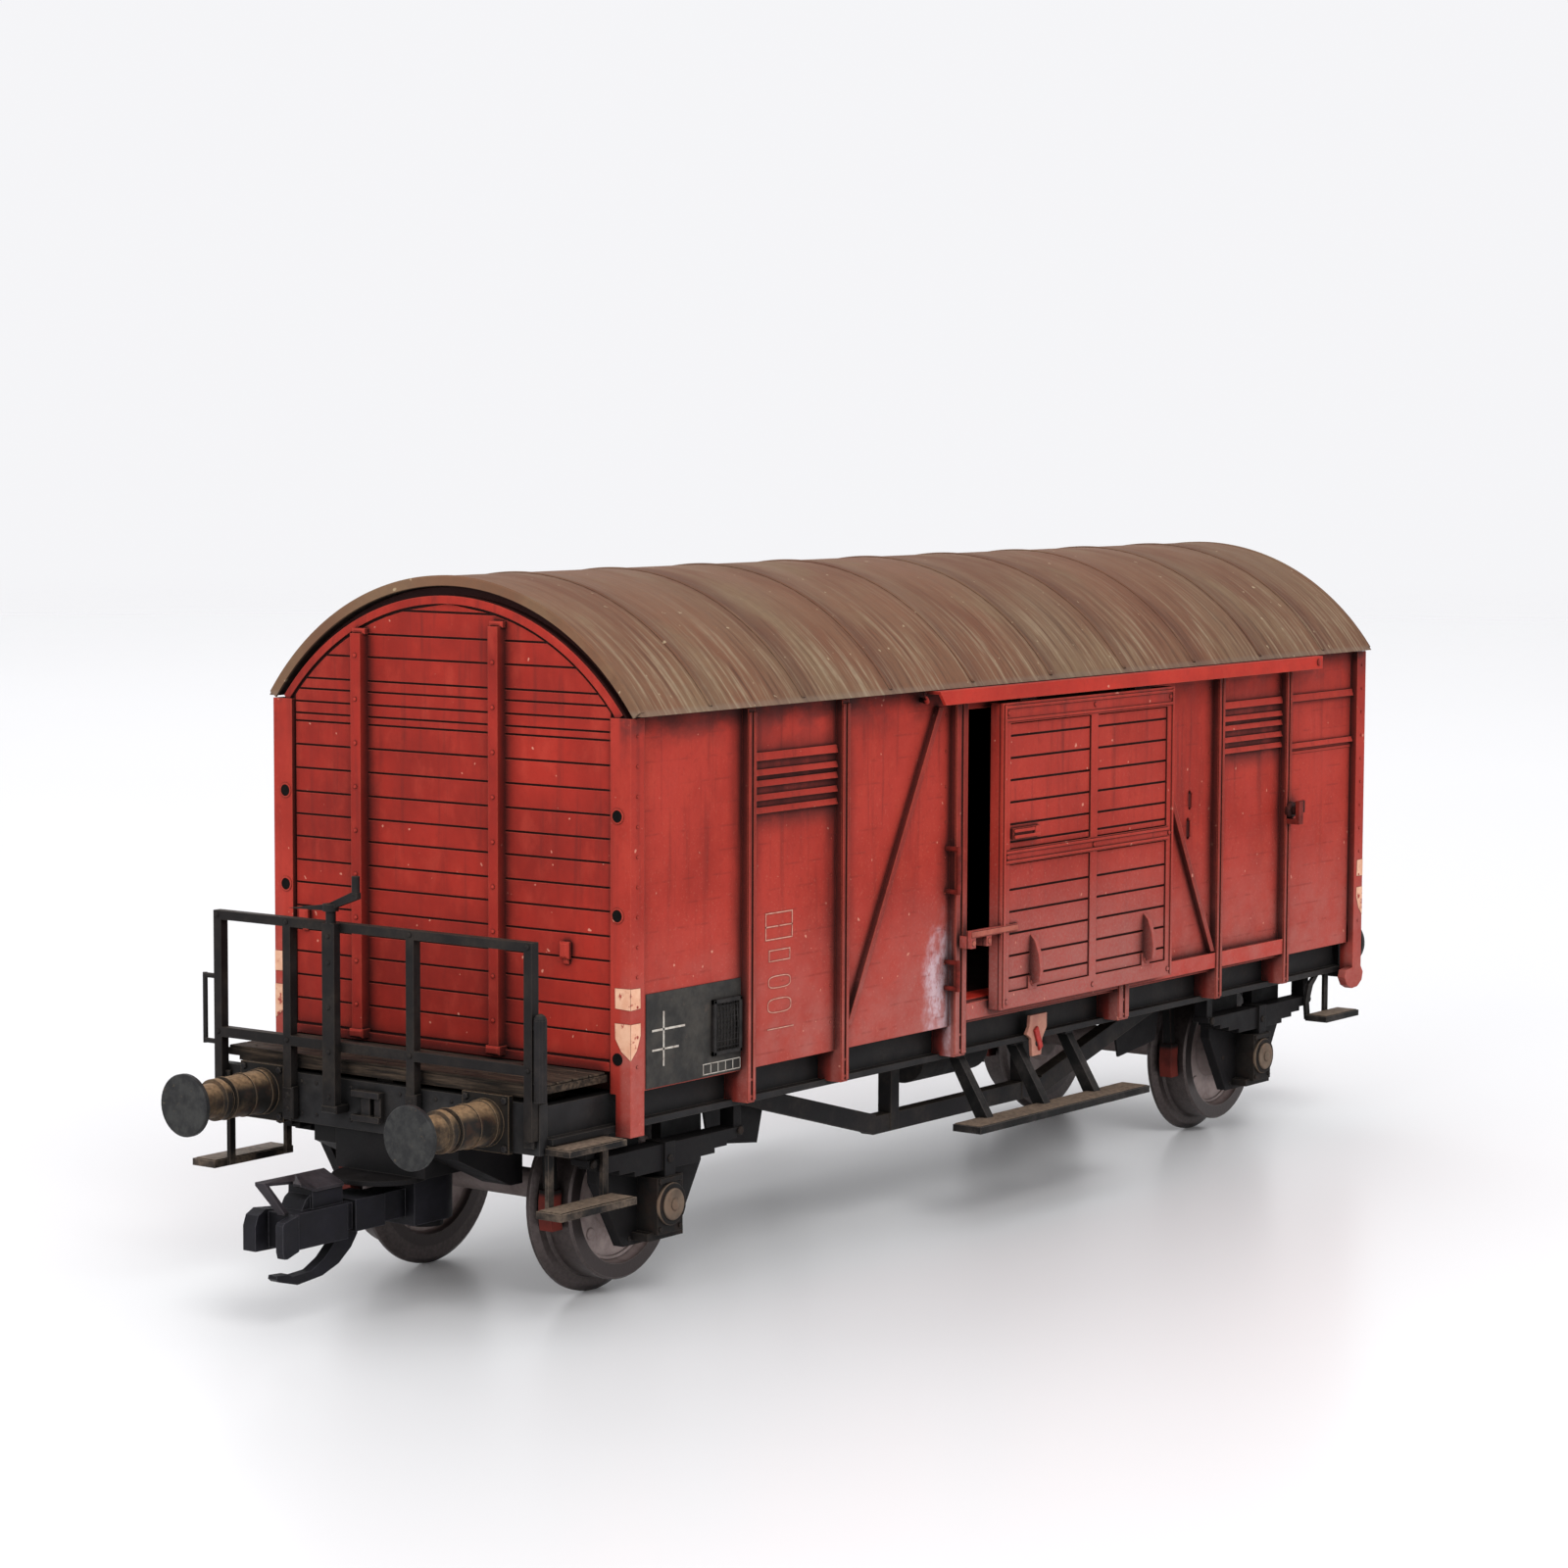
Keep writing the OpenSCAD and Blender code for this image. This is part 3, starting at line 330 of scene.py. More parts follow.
def wheel_metal():
    """Grey faces with dark hubs, rims and treads; the faces are lifted as painted light, with painted shade
    in the corners and lighter edges that are partly wear and partly painted highlight.
    """
    g = Graph("wheel_steel_worn")
    ax = g.math("ABSOLUTE", g.x)
    dx = g.math("SUBTRACT", ax, AXLE_X)
    dz = g.math("SUBTRACT", g.z, AXLE_Z)
    rad = g.math("SQRT", g.math("ADD", g.mul(dx, dx), g.mul(dz, dz)))
    mid = g.noise(0.6, 5, rough=0.65, shift=5)
    fine = g.noise(5.0, 3, shift=2)
    # the faces' greys are lifted above the steel's own tone to make up for the shade under the body: painted
    # light
    face = g.mix(g.ramp(mid, 0.35, 0.65), lin(184, 166, 162), lin(150, 132, 128))
    face = g.mix(g.mul(g.ramp(fine, 0.45, 0.75), 0.35), face, lin(198, 182, 176))
    hub = g.ramp(rad, 1.7, 1.45)
    face = g.mix(g.mul(hub, 0.6), face, lin(58, 50, 48))
    rim = g.ramp(rad, 3.25, 3.4)
    col = g.mix(rim, face, lin(58, 50, 49))
    col = g.mix(g.mul(g.ramp(rad, 4.0, 4.1), g.ramp(fine, 0.3, 0.7, 0.2, 0.55)), col, lin(92, 82, 80))
    # painted shade: darker in corners and creases
    shade_ao = g.corner_shade(0.6)
    col = g.mix(g.mul(shade_ao, 0.5), col, lin(18, 14, 13))
    # lighter edges: partly wear, partly painted highlight
    edge, soft = g.edges(0.08)
    col = g.mix(g.mul(edge, 0.5), col, lin(150, 140, 136))
    return g.finish(col, g.ramp(rim, 0.0, 1.0, 0.66, 0.4), fine, 0.25, 0.5, g.ramp(rim, 0.0, 1.0, 0.0, 0.6),
                    normal=soft)


def plain(name, a, b, scale=1.5, rough=0.6, chips=None, spec=0.35, metal=0.0, corner_shade=0.5):
    """Two tones that change over the surface, with chips of a third, painted shade in the corners, and
    lighter edges that are partly wear and partly painted highlight.
    """
    g = Graph(name)
    n = g.noise(scale, 5, rough=0.6, shift=len(name))
    fine = g.noise(scale * 4, 3, shift=3)
    col = g.mix(g.ramp(n, 0.35, 0.65), lin(*a), lin(*b))
    if chips:
        colour, lo, hi = chips
        col = g.mix(g.ramp(g.noise(scale * 1.3, 5, rough=0.7, shift=17), lo, hi), col, lin(*colour))
    # painted shade: darker in corners and creases
    shade_ao = g.corner_shade(0.7)
    col = g.mix(g.mul(shade_ao, corner_shade), col, lin(26, 20, 18))
    # lighter edges: partly wear, partly painted highlight
    edge, soft = g.edges(0.05)
    col = g.mix(g.mul(edge, 0.2), col, lin(*[min(255, c + 30) for c in b]))
    return g.finish(col, g.ramp(fine, 0.3, 0.7, rough - 0.08, rough + 0.1), fine, 0.25, spec, metal,
                    normal=soft)


def deck_wood():
    """Dark boards with a grain across the wagon, painted shade in the corners, and lighter edges that are
    partly wear and partly painted highlight.
    """
    g = Graph("deck_boards")
    grain = g.noise(1.0, 6, (5.0, 0.35, 5.0), 0.65, shift=2)
    big = g.noise(0.35, 4, shift=6)
    col = g.mix(g.ramp(grain, 0.35, 0.68), lin(30, 25, 22), lin(82, 68, 56))
    col = g.mix(g.mul(g.ramp(big, 0.45, 0.7), 0.7), col, lin(20, 18, 17))
    # painted shade: darker in corners and creases
    shade_ao = g.corner_shade(0.9)
    col = g.mix(g.mul(shade_ao, 0.85), col, lin(12, 11, 10))
    # lighter edges: partly wear, partly painted highlight
    edge, soft = g.edges(0.06)
    col = g.mix(g.mul(edge, 0.35), col, lin(104, 90, 76))
    return g.finish(col, 0.78, grain, 0.5, 0.15, normal=soft, depth=0.06)


RED = red_paint("body_red")
WALL = red_paint("body_red_wall", seams=True, wall=True)
FLOOR = red_paint("body_red_floor", wall="floor")


def end_gap(g):
    """The end walls' flat face, which only shows between the boards; it gets painted shade."""
    platform_end, plain_end = END_FACES[0][0], END_FACES[1][0]
    ax = g.math("MAXIMUM", g.math("SUBTRACT", platform_end, g.x), g.math("SUBTRACT", g.x, plain_end))
    return g.mul(g.ramp(ax, 0.06, 0.04), 0.94)


def door_gap(g):
    """The leaf's flat face, which only shows between the planks; it gets painted shade."""
    ay = g.math("ABSOLUTE", g.y)
    return g.mul(g.near(ay, DOOR_Y, 0.03, 0.01), 0.9)


POST = red_paint("body_red_posts", light=(136, 46, 38), dark=(108, 32, 25), edge_wear_and_highlight=0.75)
END = red_paint("body_red_end", gap_shade=end_gap, wall=True, light=(152, 40, 30), dark=(126, 31, 23))
RAIL = red_paint("body_red_rails", light=(186, 52, 39), dark=(164, 42, 31), edge_wear_and_highlight=0.75, top_darkening=0.15)
BOARDS = red_paint("body_red_boards", light=(158, 41, 30), dark=(126, 31, 23), edge_wear_and_highlight=0.4)
DOOR = red_paint("body_red_door", gap_shade=door_gap)
ROOF = roof_paint()
BLACK = black_paint("frame_black", dust=0.35, base=(20, 19, 20))
# a darker copy of frame_black for the parts deep under the wagon: painted shade
SHADED_BLACK = black_paint("frame_black_shaded", dust=0.12, base=(12, 11, 12), tint=(60, 52, 46), edge_amount=0.2)
PLATE = black_paint("frame_black_clean", dust=0.3, base=(27, 26, 27), tint=(82, 74, 66), edge_amount=0.35)
RAILS = black_paint("railing_black", dust=0.45, base=(19, 17, 17), tint=(74, 64, 54), edge_amount=0.3)
STEP = black_paint("step_dusty", dust=1.0, base=(15, 14, 14), tint=(132, 114, 98), edge_amount=0.3)
STEP_DARK = black_paint("step_dark", dust=0.5, base=(11, 11, 11), tint=(98, 90, 86), edge_amount=0.5)
BOXES = black_paint("axle_box_dusty", dust=0.25, base=(15, 13, 12), tint=(76, 64, 54), edge_amount=0.3,
                    rust=0.03)
LID = black_paint("axle_lid_dusty", dust=0.5, base=(78, 66, 56), tint=(128, 108, 90), edge_amount=0.4,
                  rust=0.1)
SHOE = black_paint("shoe_rusty", dust=0.15, base=(70, 24, 19), tint=(108, 54, 44), edge_amount=0.2, top_z=5.5)
SLEEVE = black_paint("buffer_rusty", dust=1.0, base=(24, 22, 20), tint=(146, 118, 88), edge_amount=0.45,
                     rust=0.08, plate_x=39.75)
HEAD = plain("buffer_head", (36, 36, 37), (52, 52, 51), 1.6, 0.5, ((92, 80, 62), 0.62, 0.76), corner_shade=0.3,
             spec=0.15)
COUPLER = black_paint("coupling_black", dust=0.08, base=(17, 16, 20), tint=(92, 90, 96), edge_amount=0.4,
                      rough=0.5)
BOW = black_paint("bow_bronzed", dust=0.25, base=(36, 33, 36), tint=(96, 88, 90), edge_amount=0.5,
                  metal=0.3, rough=0.45)
WHEEL = wheel_metal()
DECK = deck_wood()
WEIGHT = plain("weight_steel", (120, 120, 122), (142, 142, 146), 0.6, 0.4, metal=0.8)
CREAM = plain("cream_patch", (214, 158, 128), (226, 178, 148), 1.2, 0.7, ((158, 58, 44), 0.56, 0.66))
WHITE = plain("white_line", (196, 190, 180), (168, 158, 148), 3.0, 0.7, ((84, 74, 70), 0.6, 0.72))
PALE = plain("pale_line", (206, 150, 132), (188, 122, 104), 3.0, 0.7, ((160, 60, 50), 0.58, 0.7))
PANEL = plain("panel_black", (40, 39, 38), (60, 57, 53), 0.6, 0.62, ((112, 86, 74), 0.62, 0.8), spec=0.2)
HOLDER = plain("holder_black", (24, 23, 23), (40, 37, 36), 1.6, 0.62, ((92, 74, 66), 0.62, 0.8), spec=0.2)
TAN = plain("lever_plate", (170, 112, 96), (186, 132, 112), 1.4, 0.6, ((120, 62, 50), 0.62, 0.74))
LEVER = plain("lever_red", (158, 34, 28), (176, 52, 44), 1.5, 0.6)
# painted shade for the holes in the corner posts
HOLE = plain("hole_dark", (10, 9, 9), (17, 14, 13), 2.0, 0.9, spec=0.1)
# painted shade for the bottom of the posts' grooves
GROOVE_SHADE = plain("groove_wash", (44, 18, 17), (60, 24, 21), 1.4, 0.8, spec=0.15)
LATCH = plain("latch_worn", (170, 92, 74), (142, 66, 52), 1.2, 0.6)
DARK_RED = plain("fitting_dark_red", (84, 27, 22), (118, 38, 30), 1.4, 0.65, spec=0.15)
KNOB = plain("knob_dark", (44, 18, 16), (66, 24, 20), 1.4, 0.65, ((104, 46, 36), 0.6, 0.74), spec=0.15)
BRIGHT = plain("sill_bright_red", (196, 42, 28), (214, 58, 40), 1.1, 0.6, ((120, 26, 20), 0.6, 0.75))

paint = {
    "side_wall_near": WALL, "side_wall_far": WALL, "load_floor": FLOOR, "end_wall_platform": END,
    "end_wall_plain": END, "door_near": DOOR, "door_far": DOOR, "roof": ROOF, "platform_deck": DECK,
    "steel_weight": WEIGHT,
    "axle_boxes": BOXES, "leaf_springs": SHADED_BLACK, "brake_shoes": SHOE, "buffer_sleeves": SLEEVE,
    "buffer_heads": HEAD,
    "changeover_plates": TAN, "corner_steps_platform": STEP, "corner_steps_plain": STEP_DARK,
    "door_steps": STEP_DARK,
    "coupling_guides": SHADED_BLACK, "coupling_pins": SHADED_BLACK, "underframe_plate": SHADED_BLACK, "brake_beams": SHADED_BLACK,
    "brake_rod": SHADED_BLACK,
    "brake_brackets": SHADED_BLACK, "lamp_irons": DARK_RED,
    "headstocks": PLATE, "solebars": PLATE, "platform_railing": RAILS, "brake_column": RAILS,
    "brake_crank": RAILS,
    "axle_guards": SHADED_BLACK, "door_post_handles": DARK_RED,
}


for name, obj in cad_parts.items():
    if name in paint:
        m = paint[name]
    elif name.startswith("side_posts"):
        m = POST
    elif name.startswith("door_rails"):
        m = RAIL
    elif name.startswith(("louvres", "corner_posts")):
        m = RED
    elif name.startswith(("wheels_", "axle_plain_end", "axle_platform_end")):
        m = WHEEL
    elif name.startswith("coupling_bow"):
        m = BOW
    elif name.startswith(("coupling_plain", "coupling_platform")):
        m = COUPLER
    else:
        m = BLACK
    obj.data.materials.clear()
    obj.data.materials.append(m)


# ------------------------------------------------------------------ mesh tools
def circle(centre, u, t, r, n):
    """n points round a centre, in the plane of the unit vectors u and t."""
    turns = [2 * math.pi * i / n for i in range(n)]
    return [tuple(centre + (u * math.cos(a) + t * math.sin(a)) * r) for a in turns]


class Build:
    """Collects faces in millimetres and makes one piece of them."""

    def __init__(self):
        self.v, self.f, self.smooth = [], [], []
        self.turn = None

    def p(self, q):
        """Keeps a point, turned if this is the second side, and gives its number."""
        x, y, z = q
        if self.turn:
            x, y, z = self.turn(x, y, z)
        self.v.append((x * MM, y * MM, z * MM))
        return len(self.v) - 1

    def face(self, pts, smooth=False):
        self.f.append([self.p(q) if not isinstance(q, int) else q for q in pts])
        self.smooth.append(smooth)

    def loft(self, rings, smooth=False, caps=True):
        """A skin over rings that have the same number of points."""
        idx = [[self.p(q) for q in r] for r in rings]
        n = len(idx[0])
        for a, b in zip(idx, idx[1:]):
            for i in range(n):
                j = (i + 1) % n
                self.f.append([a[i], a[j], b[j], b[i]])
                self.smooth.append(smooth)
        if caps:
            self.f.append(list(reversed(idx[0])))
            self.f.append(idx[-1])
            self.smooth += [False, False]

    def box(self, a, b, bevel=0.0, axis=2):
        """A box whose two faces across the axis are drawn in by a bevel."""
        lo = [min(a[i], b[i]) for i in range(3)]
        hi = [max(a[i], b[i]) for i in range(3)]
        u, w = [i for i in range(3) if i != axis]
        c = min(bevel, (hi[u] - lo[u]) / 2.5, (hi[w] - lo[w]) / 2.5, (hi[axis] - lo[axis]) / 2.2)

        def ring(t, inset):
            out = []
            for su, sw in ((0, 0), (1, 0), (1, 1), (0, 1)):
                uu = (lo[u] + inset) if su == 0 else (hi[u] - inset)
                ww = (lo[w] + inset) if sw == 0 else (hi[w] - inset)
                q = [0, 0, 0]
                q[u], q[w], q[axis] = uu, ww, t
                out.append(tuple(q))
            return out
        if c > 0:
            self.loft([ring(lo[axis], c), ring(lo[axis] + c, 0), ring(hi[axis] - c, 0), ring(hi[axis], c)])
        else:
            self.loft([ring(lo[axis], 0), ring(hi[axis], 0)])

    def prism(self, outline, place, t0, t1, cut=0.0):
        """outline in its own plane; place(u, v, t) puts a point; the t1 face is drawn in by cut."""
        cu = sum(q[0] for q in outline) / len(outline)
        cv = sum(q[1] for q in outline) / len(outline)

        def shrink(q):
            du, dv = q[0] - cu, q[1] - cv
            d = math.hypot(du, dv) or 1.0
            k = max(0.0, 1 - cut * 1.2 / d)
            return cu + du * k, cv + dv * k
        a = [place(u, v, t0) for u, v in outline]
        if cut:
            b = [place(u, v, t1 - (t1 - t0) * 0.35) for u, v in outline]
            c = [place(*shrink(q), t1) for q in outline]
            self.loft([a, b, c])
        else:
            self.loft([a, [place(u, v, t1) for u, v in outline]])

    def disc(self, centre, axis, r, h, n=20, dome=0.0, cut=0.0):
        """A round boss on a face; axis is the way it stands out, as a unit vector."""
        c, w = Vector(centre), Vector(axis)
        u = w.orthogonal().normalized()
        t = w.cross(u)
        prof = [(r, 0.0), (r, h - cut if cut else h)]
        if cut:
            prof.append((r - cut, h))
        if dome:
            prof = [(r * math.cos(k * math.pi / 8), h + dome * math.sin(k * math.pi / 8)) for k in range(4)]
            prof = [(r, 0.0)] + prof + [(r * 0.12, h + dome)]
        rings = [circle(c + w * q[1], u, t, q[0], n) for q in prof]
        self.loft(rings, smooth=bool(dome))

    def tube(self, pts, r, n=8):
        """A round bar of radius r through the points."""
        rings = []
        for i, q in enumerate(pts):
            a = Vector(pts[max(0, i - 1)])
            b = Vector(pts[min(len(pts) - 1, i + 1)])
            w = (b - a).normalized()
            u = w.orthogonal().normalized()
            if abs(w.z) < 0.95:
                u = w.cross(Vector((0, 0, 1))).normalized()
            t = w.cross(u)
            rings.append(circle(Vector(q), u, t, r, n))
        self.loft(rings, smooth=True)

    def make(self, name, body, slot, material):
        """The finished piece, riding on a body; slot is not used."""
        me = bpy.data.meshes.new(name)
        me.from_pydata(self.v, [], self.f)
        for p, s in zip(me.polygons, self.smooth):
            p.use_smooth = s
        me.materials.append(material)
        me.update()
        ob = bpy.data.objects.new(name, me)
        bpy.context.scene.collection.objects.link(ob)
        bm = bmesh.new()
        bm.from_mesh(me)
        bmesh.ops.recalc_face_normals(bm, faces=bm.faces)
        bm.to_mesh(me)
        bm.free()
        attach(ob, body)
        return ob


def far_turn(x, y, z):
    """From the near side to the far side."""
    return 2 * BODY_C - x, -y, z


def end_turn(x, y, z):
    """From the plain end to the platform end."""
    return -x, -y, z


def sides(b, make):
    """make(b) on the near side, then turned onto the far side."""
    make(b)
    b.turn = far_turn
    make(b)
    b.turn = None


def ends(b, make):
    """make(b) on the plain end, then turned onto the platform end."""
    make(b)
    b.turn = end_turn
    make(b)
    b.turn = None


# ------------------------------------------------------------------ end boards
BOARD_Z = [12.62, 13.9, 15.1, 16.3, 17.45, 18.65, 19.85, 21.0, 22.2, 23.35, 24.5, 25.7, 26.9, 28.1, 28.5,
           29.1, 29.75, 30.3, 31.5, 32.65, 33.9, 34.75]
ARC_R, ARC_Z = 14.03, 20.72


def end_boards(b, x, s):
    """Boards, arched rim and ledge on the end whose face is at x and looks along s."""
    place = lambda u, v, t: (x + s * t, u, v)
    gap = 0.05
    for z0, z1 in zip(BOARD_Z, BOARD_Z[1:]):
        lo, hi = z0 + gap, z1 - gap
        if hi - lo < 0.2:
            hi = lo + 0.25
        n = 1 if hi < 27.5 else 4
        right = []
        for k in range(n + 1):
            z = lo + (hi - lo) * k / n
            inner = ARC_R - 0.55
            arc = math.sqrt(max(0.01, inner * inner - (z - ARC_Z) ** 2))
            right.append((min(10.3, arc), z))
        left = [(-u, v) for u, v in reversed(right)]
        b.prism(right + left, place, 0.01, 0.12, 0.03)
    # rim under the roof
    outer, inner = [], []
    for k in range(61):
        a = math.radians(38 + 104 * k / 60)
        outer.append((-(ARC_R - 0.02) * math.cos(a), ARC_Z + (ARC_R - 0.02) * math.sin(a)))
        inner.append((-(ARC_R - 0.42) * math.cos(a), ARC_Z + (ARC_R - 0.42) * math.sin(a)))
    rings = []
    for o, i in zip(outer, inner):
        rings.append([place(o[0], o[1], 0.0), place(o[0], o[1], 0.16), place(i[0], i[1], 0.2),
                      place(i[0], i[1], 0.0)])
    b.loft(rings)
    b.box((x + s * 0.01, -10.35, 12.12), (x + s * 0.3, 10.35, 12.56), 0.05, axis=1)


for name, (x, s) in zip(("end_boards_platform", "end_boards_plain"), END_FACES):
    b = Build()
    end_boards(b, x, s)
    b.make(name, "wagon", "body_plastic", BOARDS)

# clips on the ends, then the cap, foot and rivets of each end post, given by its place and top
END_POSTS = (((5.68, 32.7), (-3.35, 33.35)), ((4.78, 33.1), (-4.78, 33.1)))
b = Build()
for x, s in END_FACES:
    for y, z in ((7.6 * s, 17.8), (-9.6 * s, 18.1)):
        b.box((x + s * 0.1, y - 0.3, z - 0.42), (x + s * 0.5, y + 0.3, z + 0.42), 0.12, axis=0)
        b.box((x + s * 0.1, y - 0.18, z - 0.7), (x + s * 0.3, y + 0.18, z - 0.4), 0.06, axis=0)
for (x, s), posts in zip(END_FACES, END_POSTS):
    for y, top in posts:
        b.box((x + s * 0.1, y - 0.42, top - 0.05), (x + s * 0.5, y + 0.42, top + 0.25), 0.08, axis=0)
        b.box((x + s * 0.1, y - 0.45, 12.3), (x + s * 0.85, y + 0.45, 12.75), 0.1, axis=0)
        for k in range(9):
            b.disc((x + s * 0.7, y, 14 + k * 2.2), (s, 0, 0), 0.11, 0.02, 10, dome=0.07)
b.make("end_fittings", "wagon", "body_plastic", RED)

# ------------------------------------------------------------------ doors
# left edge and width of the leaf, and the heights of its planks' joints, with the middle rail left out
DX, DW = -3.1, 17.8
DOOR_LINES = [12.6, 13.35, 14.55, 15.75, 16.95, 18.15, 19.55, None, 20.35, 20.75, 21.7, 22.9, 24.1, 25.3,
              26.5, 27.2]


def door_planks(b):
    """Planks in the two panels of the leaf."""
    place = lambda u, v, t: (u, -(DOOR_Y + t), v)
    for x0, x1 in ((DX + 0.75, DX + 8.9), (DX + 9.6, DX + DW - 0.75)):
        for z0, z1 in zip(DOOR_LINES, DOOR_LINES[1:]):
            if z0 is None or z1 is None:
                continue
            a, c = z0 + 0.06, z1 - 0.06
            b.prism([(x0 + 0.03, a), (x1 - 0.03, a), (x1 - 0.03, c), (x0 + 0.03, c)], place, 0.01, 0.12, 0.03)


def door_metal(b):
    """Raised edges, rivets, hasp and roller plates of the leaf."""
    y = -12.6
    # raised edge of the frame and its rivets
    for x in (DX + 0.12, DX + DW - 0.3):
        b.box((x, y, 11.8), (x + 0.18, y - 0.07, 28.2), 0.02, axis=2)
    for z in (27.3, 28.0):
        b.box((DX + 0.3, y, z), (DX + DW - 0.3, y - 0.06, z + 0.14), 0.02, axis=0)
    for z in (19.62, 20.14):
        b.box((DX + 0.35, y, z), (DX + DW - 0.6, y - 0.08, z + 0.14), 0.02, axis=0)
    for x in (DX + 0.5, DX + 9.25, DX + DW - 0.5):
        for z in (12.1, 19.95, 27.75):
            b.disc((x, y, z), (0, -1, 0), 0.14, 0.02, 10, dome=0.08)
    # hasp: two short straps, a ring and a pin
    b.box((DX + 0.9, -12.72, 20.95), (DX + 3.4, -12.86, 21.12), 0.04, axis=0)
    b.box((DX + 0.9, -12.72, 21.28), (DX + 2.9, -12.84, 21.44), 0.04, axis=0)
    b.disc((DX + 3.2, -12.72, 21.2), (0, -1, 0), 0.3, 0.1, 16, cut=0.04)
    # plates behind the lower rollers' fins
    for x in (DX + 3.1, DX + 14.9):
        b.box((x - 0.42, -12.48, 12.5), (x + 0.42, -12.62, 13.3), 0.05, axis=2)
        b.disc((x, -12.62, 12.9), (0, -1, 0), 0.2, 0.03, 12, dome=0.08)


for name, body, turn in (("near", "sliding_door_near", None), ("far", "sliding_door_far", far_turn)):
    b = Build()
    b.turn = turn
    door_planks(b)
    b.make("door_planks_" + name, body, "body_plastic", RED)
    b = Build()
    b.turn = turn
    door_metal(b)
    b.make("door_metalwork_" + name, body, "body_plastic", RED)
    b = Build()
    b.turn = turn
    # worn face of the latch bar
    b.box((DX - 3.0, -12.655, 15.96), (DX + 1.5, -12.7, 16.24), 0.02, axis=0)
    b.disc((DX - 2.75, -12.65, 15.62), (0, -1, 0), 0.16, 0.02, 12, dome=0.08)
    b.disc((DX - 1.25, -12.65, 15.62), (0, -1, 0), 0.16, 0.02, 12, dome=0.08)
    b.make("door_latch_face_" + name, body, "body_plastic", LATCH)


def sill(b):
    """The bright step of the doorway and the stop that stands on it."""
    b.box((-5.05, -9.7, 12.19), (10.35, -11.22, 12.34), 0.04, axis=0)
    b.disc((-4.35, -10.6, 12.34), (0, 0, 1), 0.42, 0.5, 20, cut=0.08)
    b.disc((-4.35, -10.6, 12.84), (0, 0, 1), 0.3, 0.25, 20, dome=0.25)


b = Build()
sides(b, sill)
b.make("doorway_sills", "wagon", "body_plastic", BRIGHT)


# ------------------------------------------------------------------ side posts
def post_edges(b):
    """Raised edges of the posts, with the rivets beside them and in their feet."""
    for x in POSTS:
        for s in (-1, 1):
            b.box((x + s * 0.1, -11.65, 9.55), (x + s * 0.3, -11.74, 29.0), 0.03, axis=2)
    for x in DOOR_POSTS:
        for s in (-1, 1):
            b.box((x + s * 0.12, -11.65, 9.55), (x + s * 0.52, -11.73, 28.4), 0.05, axis=2)
    # rivets along the sheets' edges
    for x in (-23.6, -17.0, -15.6, -6.6, 11.9, 20.9, 22.3, 28.9, 30.3, -32.4, 37.8):
        for k in range(9):
            z = 12.6 + k * 1.9
            # none beside the left louvre
            if -23.9 < x < -16.8 and z > 23.5:
                continue
            b.disc((x, WALL_Y, z), (0, -1, 0), 0.06, 0.01, 8, dome=0.035)
    # feet
    for x in POSTS + DOOR_POSTS:
        for z in (9.75, 10.6):
            b.disc((x, -11.66, z), (0, -1, 0), 0.09, 0.01, 8, dome=0.05)


def post_grooves(b):
    """A dark strip down the middle of each post: painted shade at the bottom of its groove."""
    for x in POSTS:
        b.box((x - 0.09, -11.652, 9.6), (x + 0.09, -11.672, 29.0), 0.0)
    for x in DOOR_POSTS:
        b.box((x - 0.1, -11.652, 9.6), (x + 0.1, -11.668, 28.4), 0.0)


for kind, make, mat in (("post_edges", post_edges, POST), ("post_grooves", post_grooves, GROOVE_SHADE)):
    b = Build()
    sides(b, make)
    b.make(kind, "wagon", "body_plastic", mat)


def dents(b):
    """Small handles and a ledge on the right-hand panel, and the upper rail's hook and end boss."""
    b.tube([(18.7, WALL_Y, 21.9), (18.7, -11.42, 21.8), (18.7, -11.42, 21.0), (18.7, WALL_Y, 20.9)], 0.07)
    b.tube([(18.55, WALL_Y, 20.3), (18.55, -11.42, 20.2), (18.55, -11.42, 19.3), (18.55, WALL_Y, 19.2)], 0.09)
    b.box((30.0, WALL_Y, 23.3), (38.0, -11.3, 23.45), 0.02, axis=0)
    # hooks at the ends of the upper rail
    b.tube([(-9.0, -11.3, 28.75), (-9.3, -11.9, 28.7), (-9.75, -12.1, 28.9), (-9.7, -12.0, 29.15)], 0.14)
    b.disc((31.4, -12.66, 28.9), (0, -1, 0), 0.2, 0.03, 12, dome=0.08)


b = Build()
sides(b, dents)
b.make("side_fittings", "wagon", "body_plastic", RED)


def knob(b):
    """The round bracket on the rightmost post, with its short arm."""
    b.disc((29.75, -11.7, 20.0), (0, -1, 0), 0.52, 0.3, 24, cut=0.12)
    b.disc((29.75, -12.0, 20.0), (0, -1, 0), 0.26, 0.14, 16, dome=0.12)
    b.box((29.9, -11.75, 20.15), (31.2, -12.0, 20.45), 0.06, axis=0)
    b.box((30.75, -11.75, 19.75), (31.3, -11.95, 20.5), 0.06, axis=1)


b = Build()
sides(b, knob)
b.make("lamp_bracket_knobs", "wagon", "frame_plastic", KNOB)

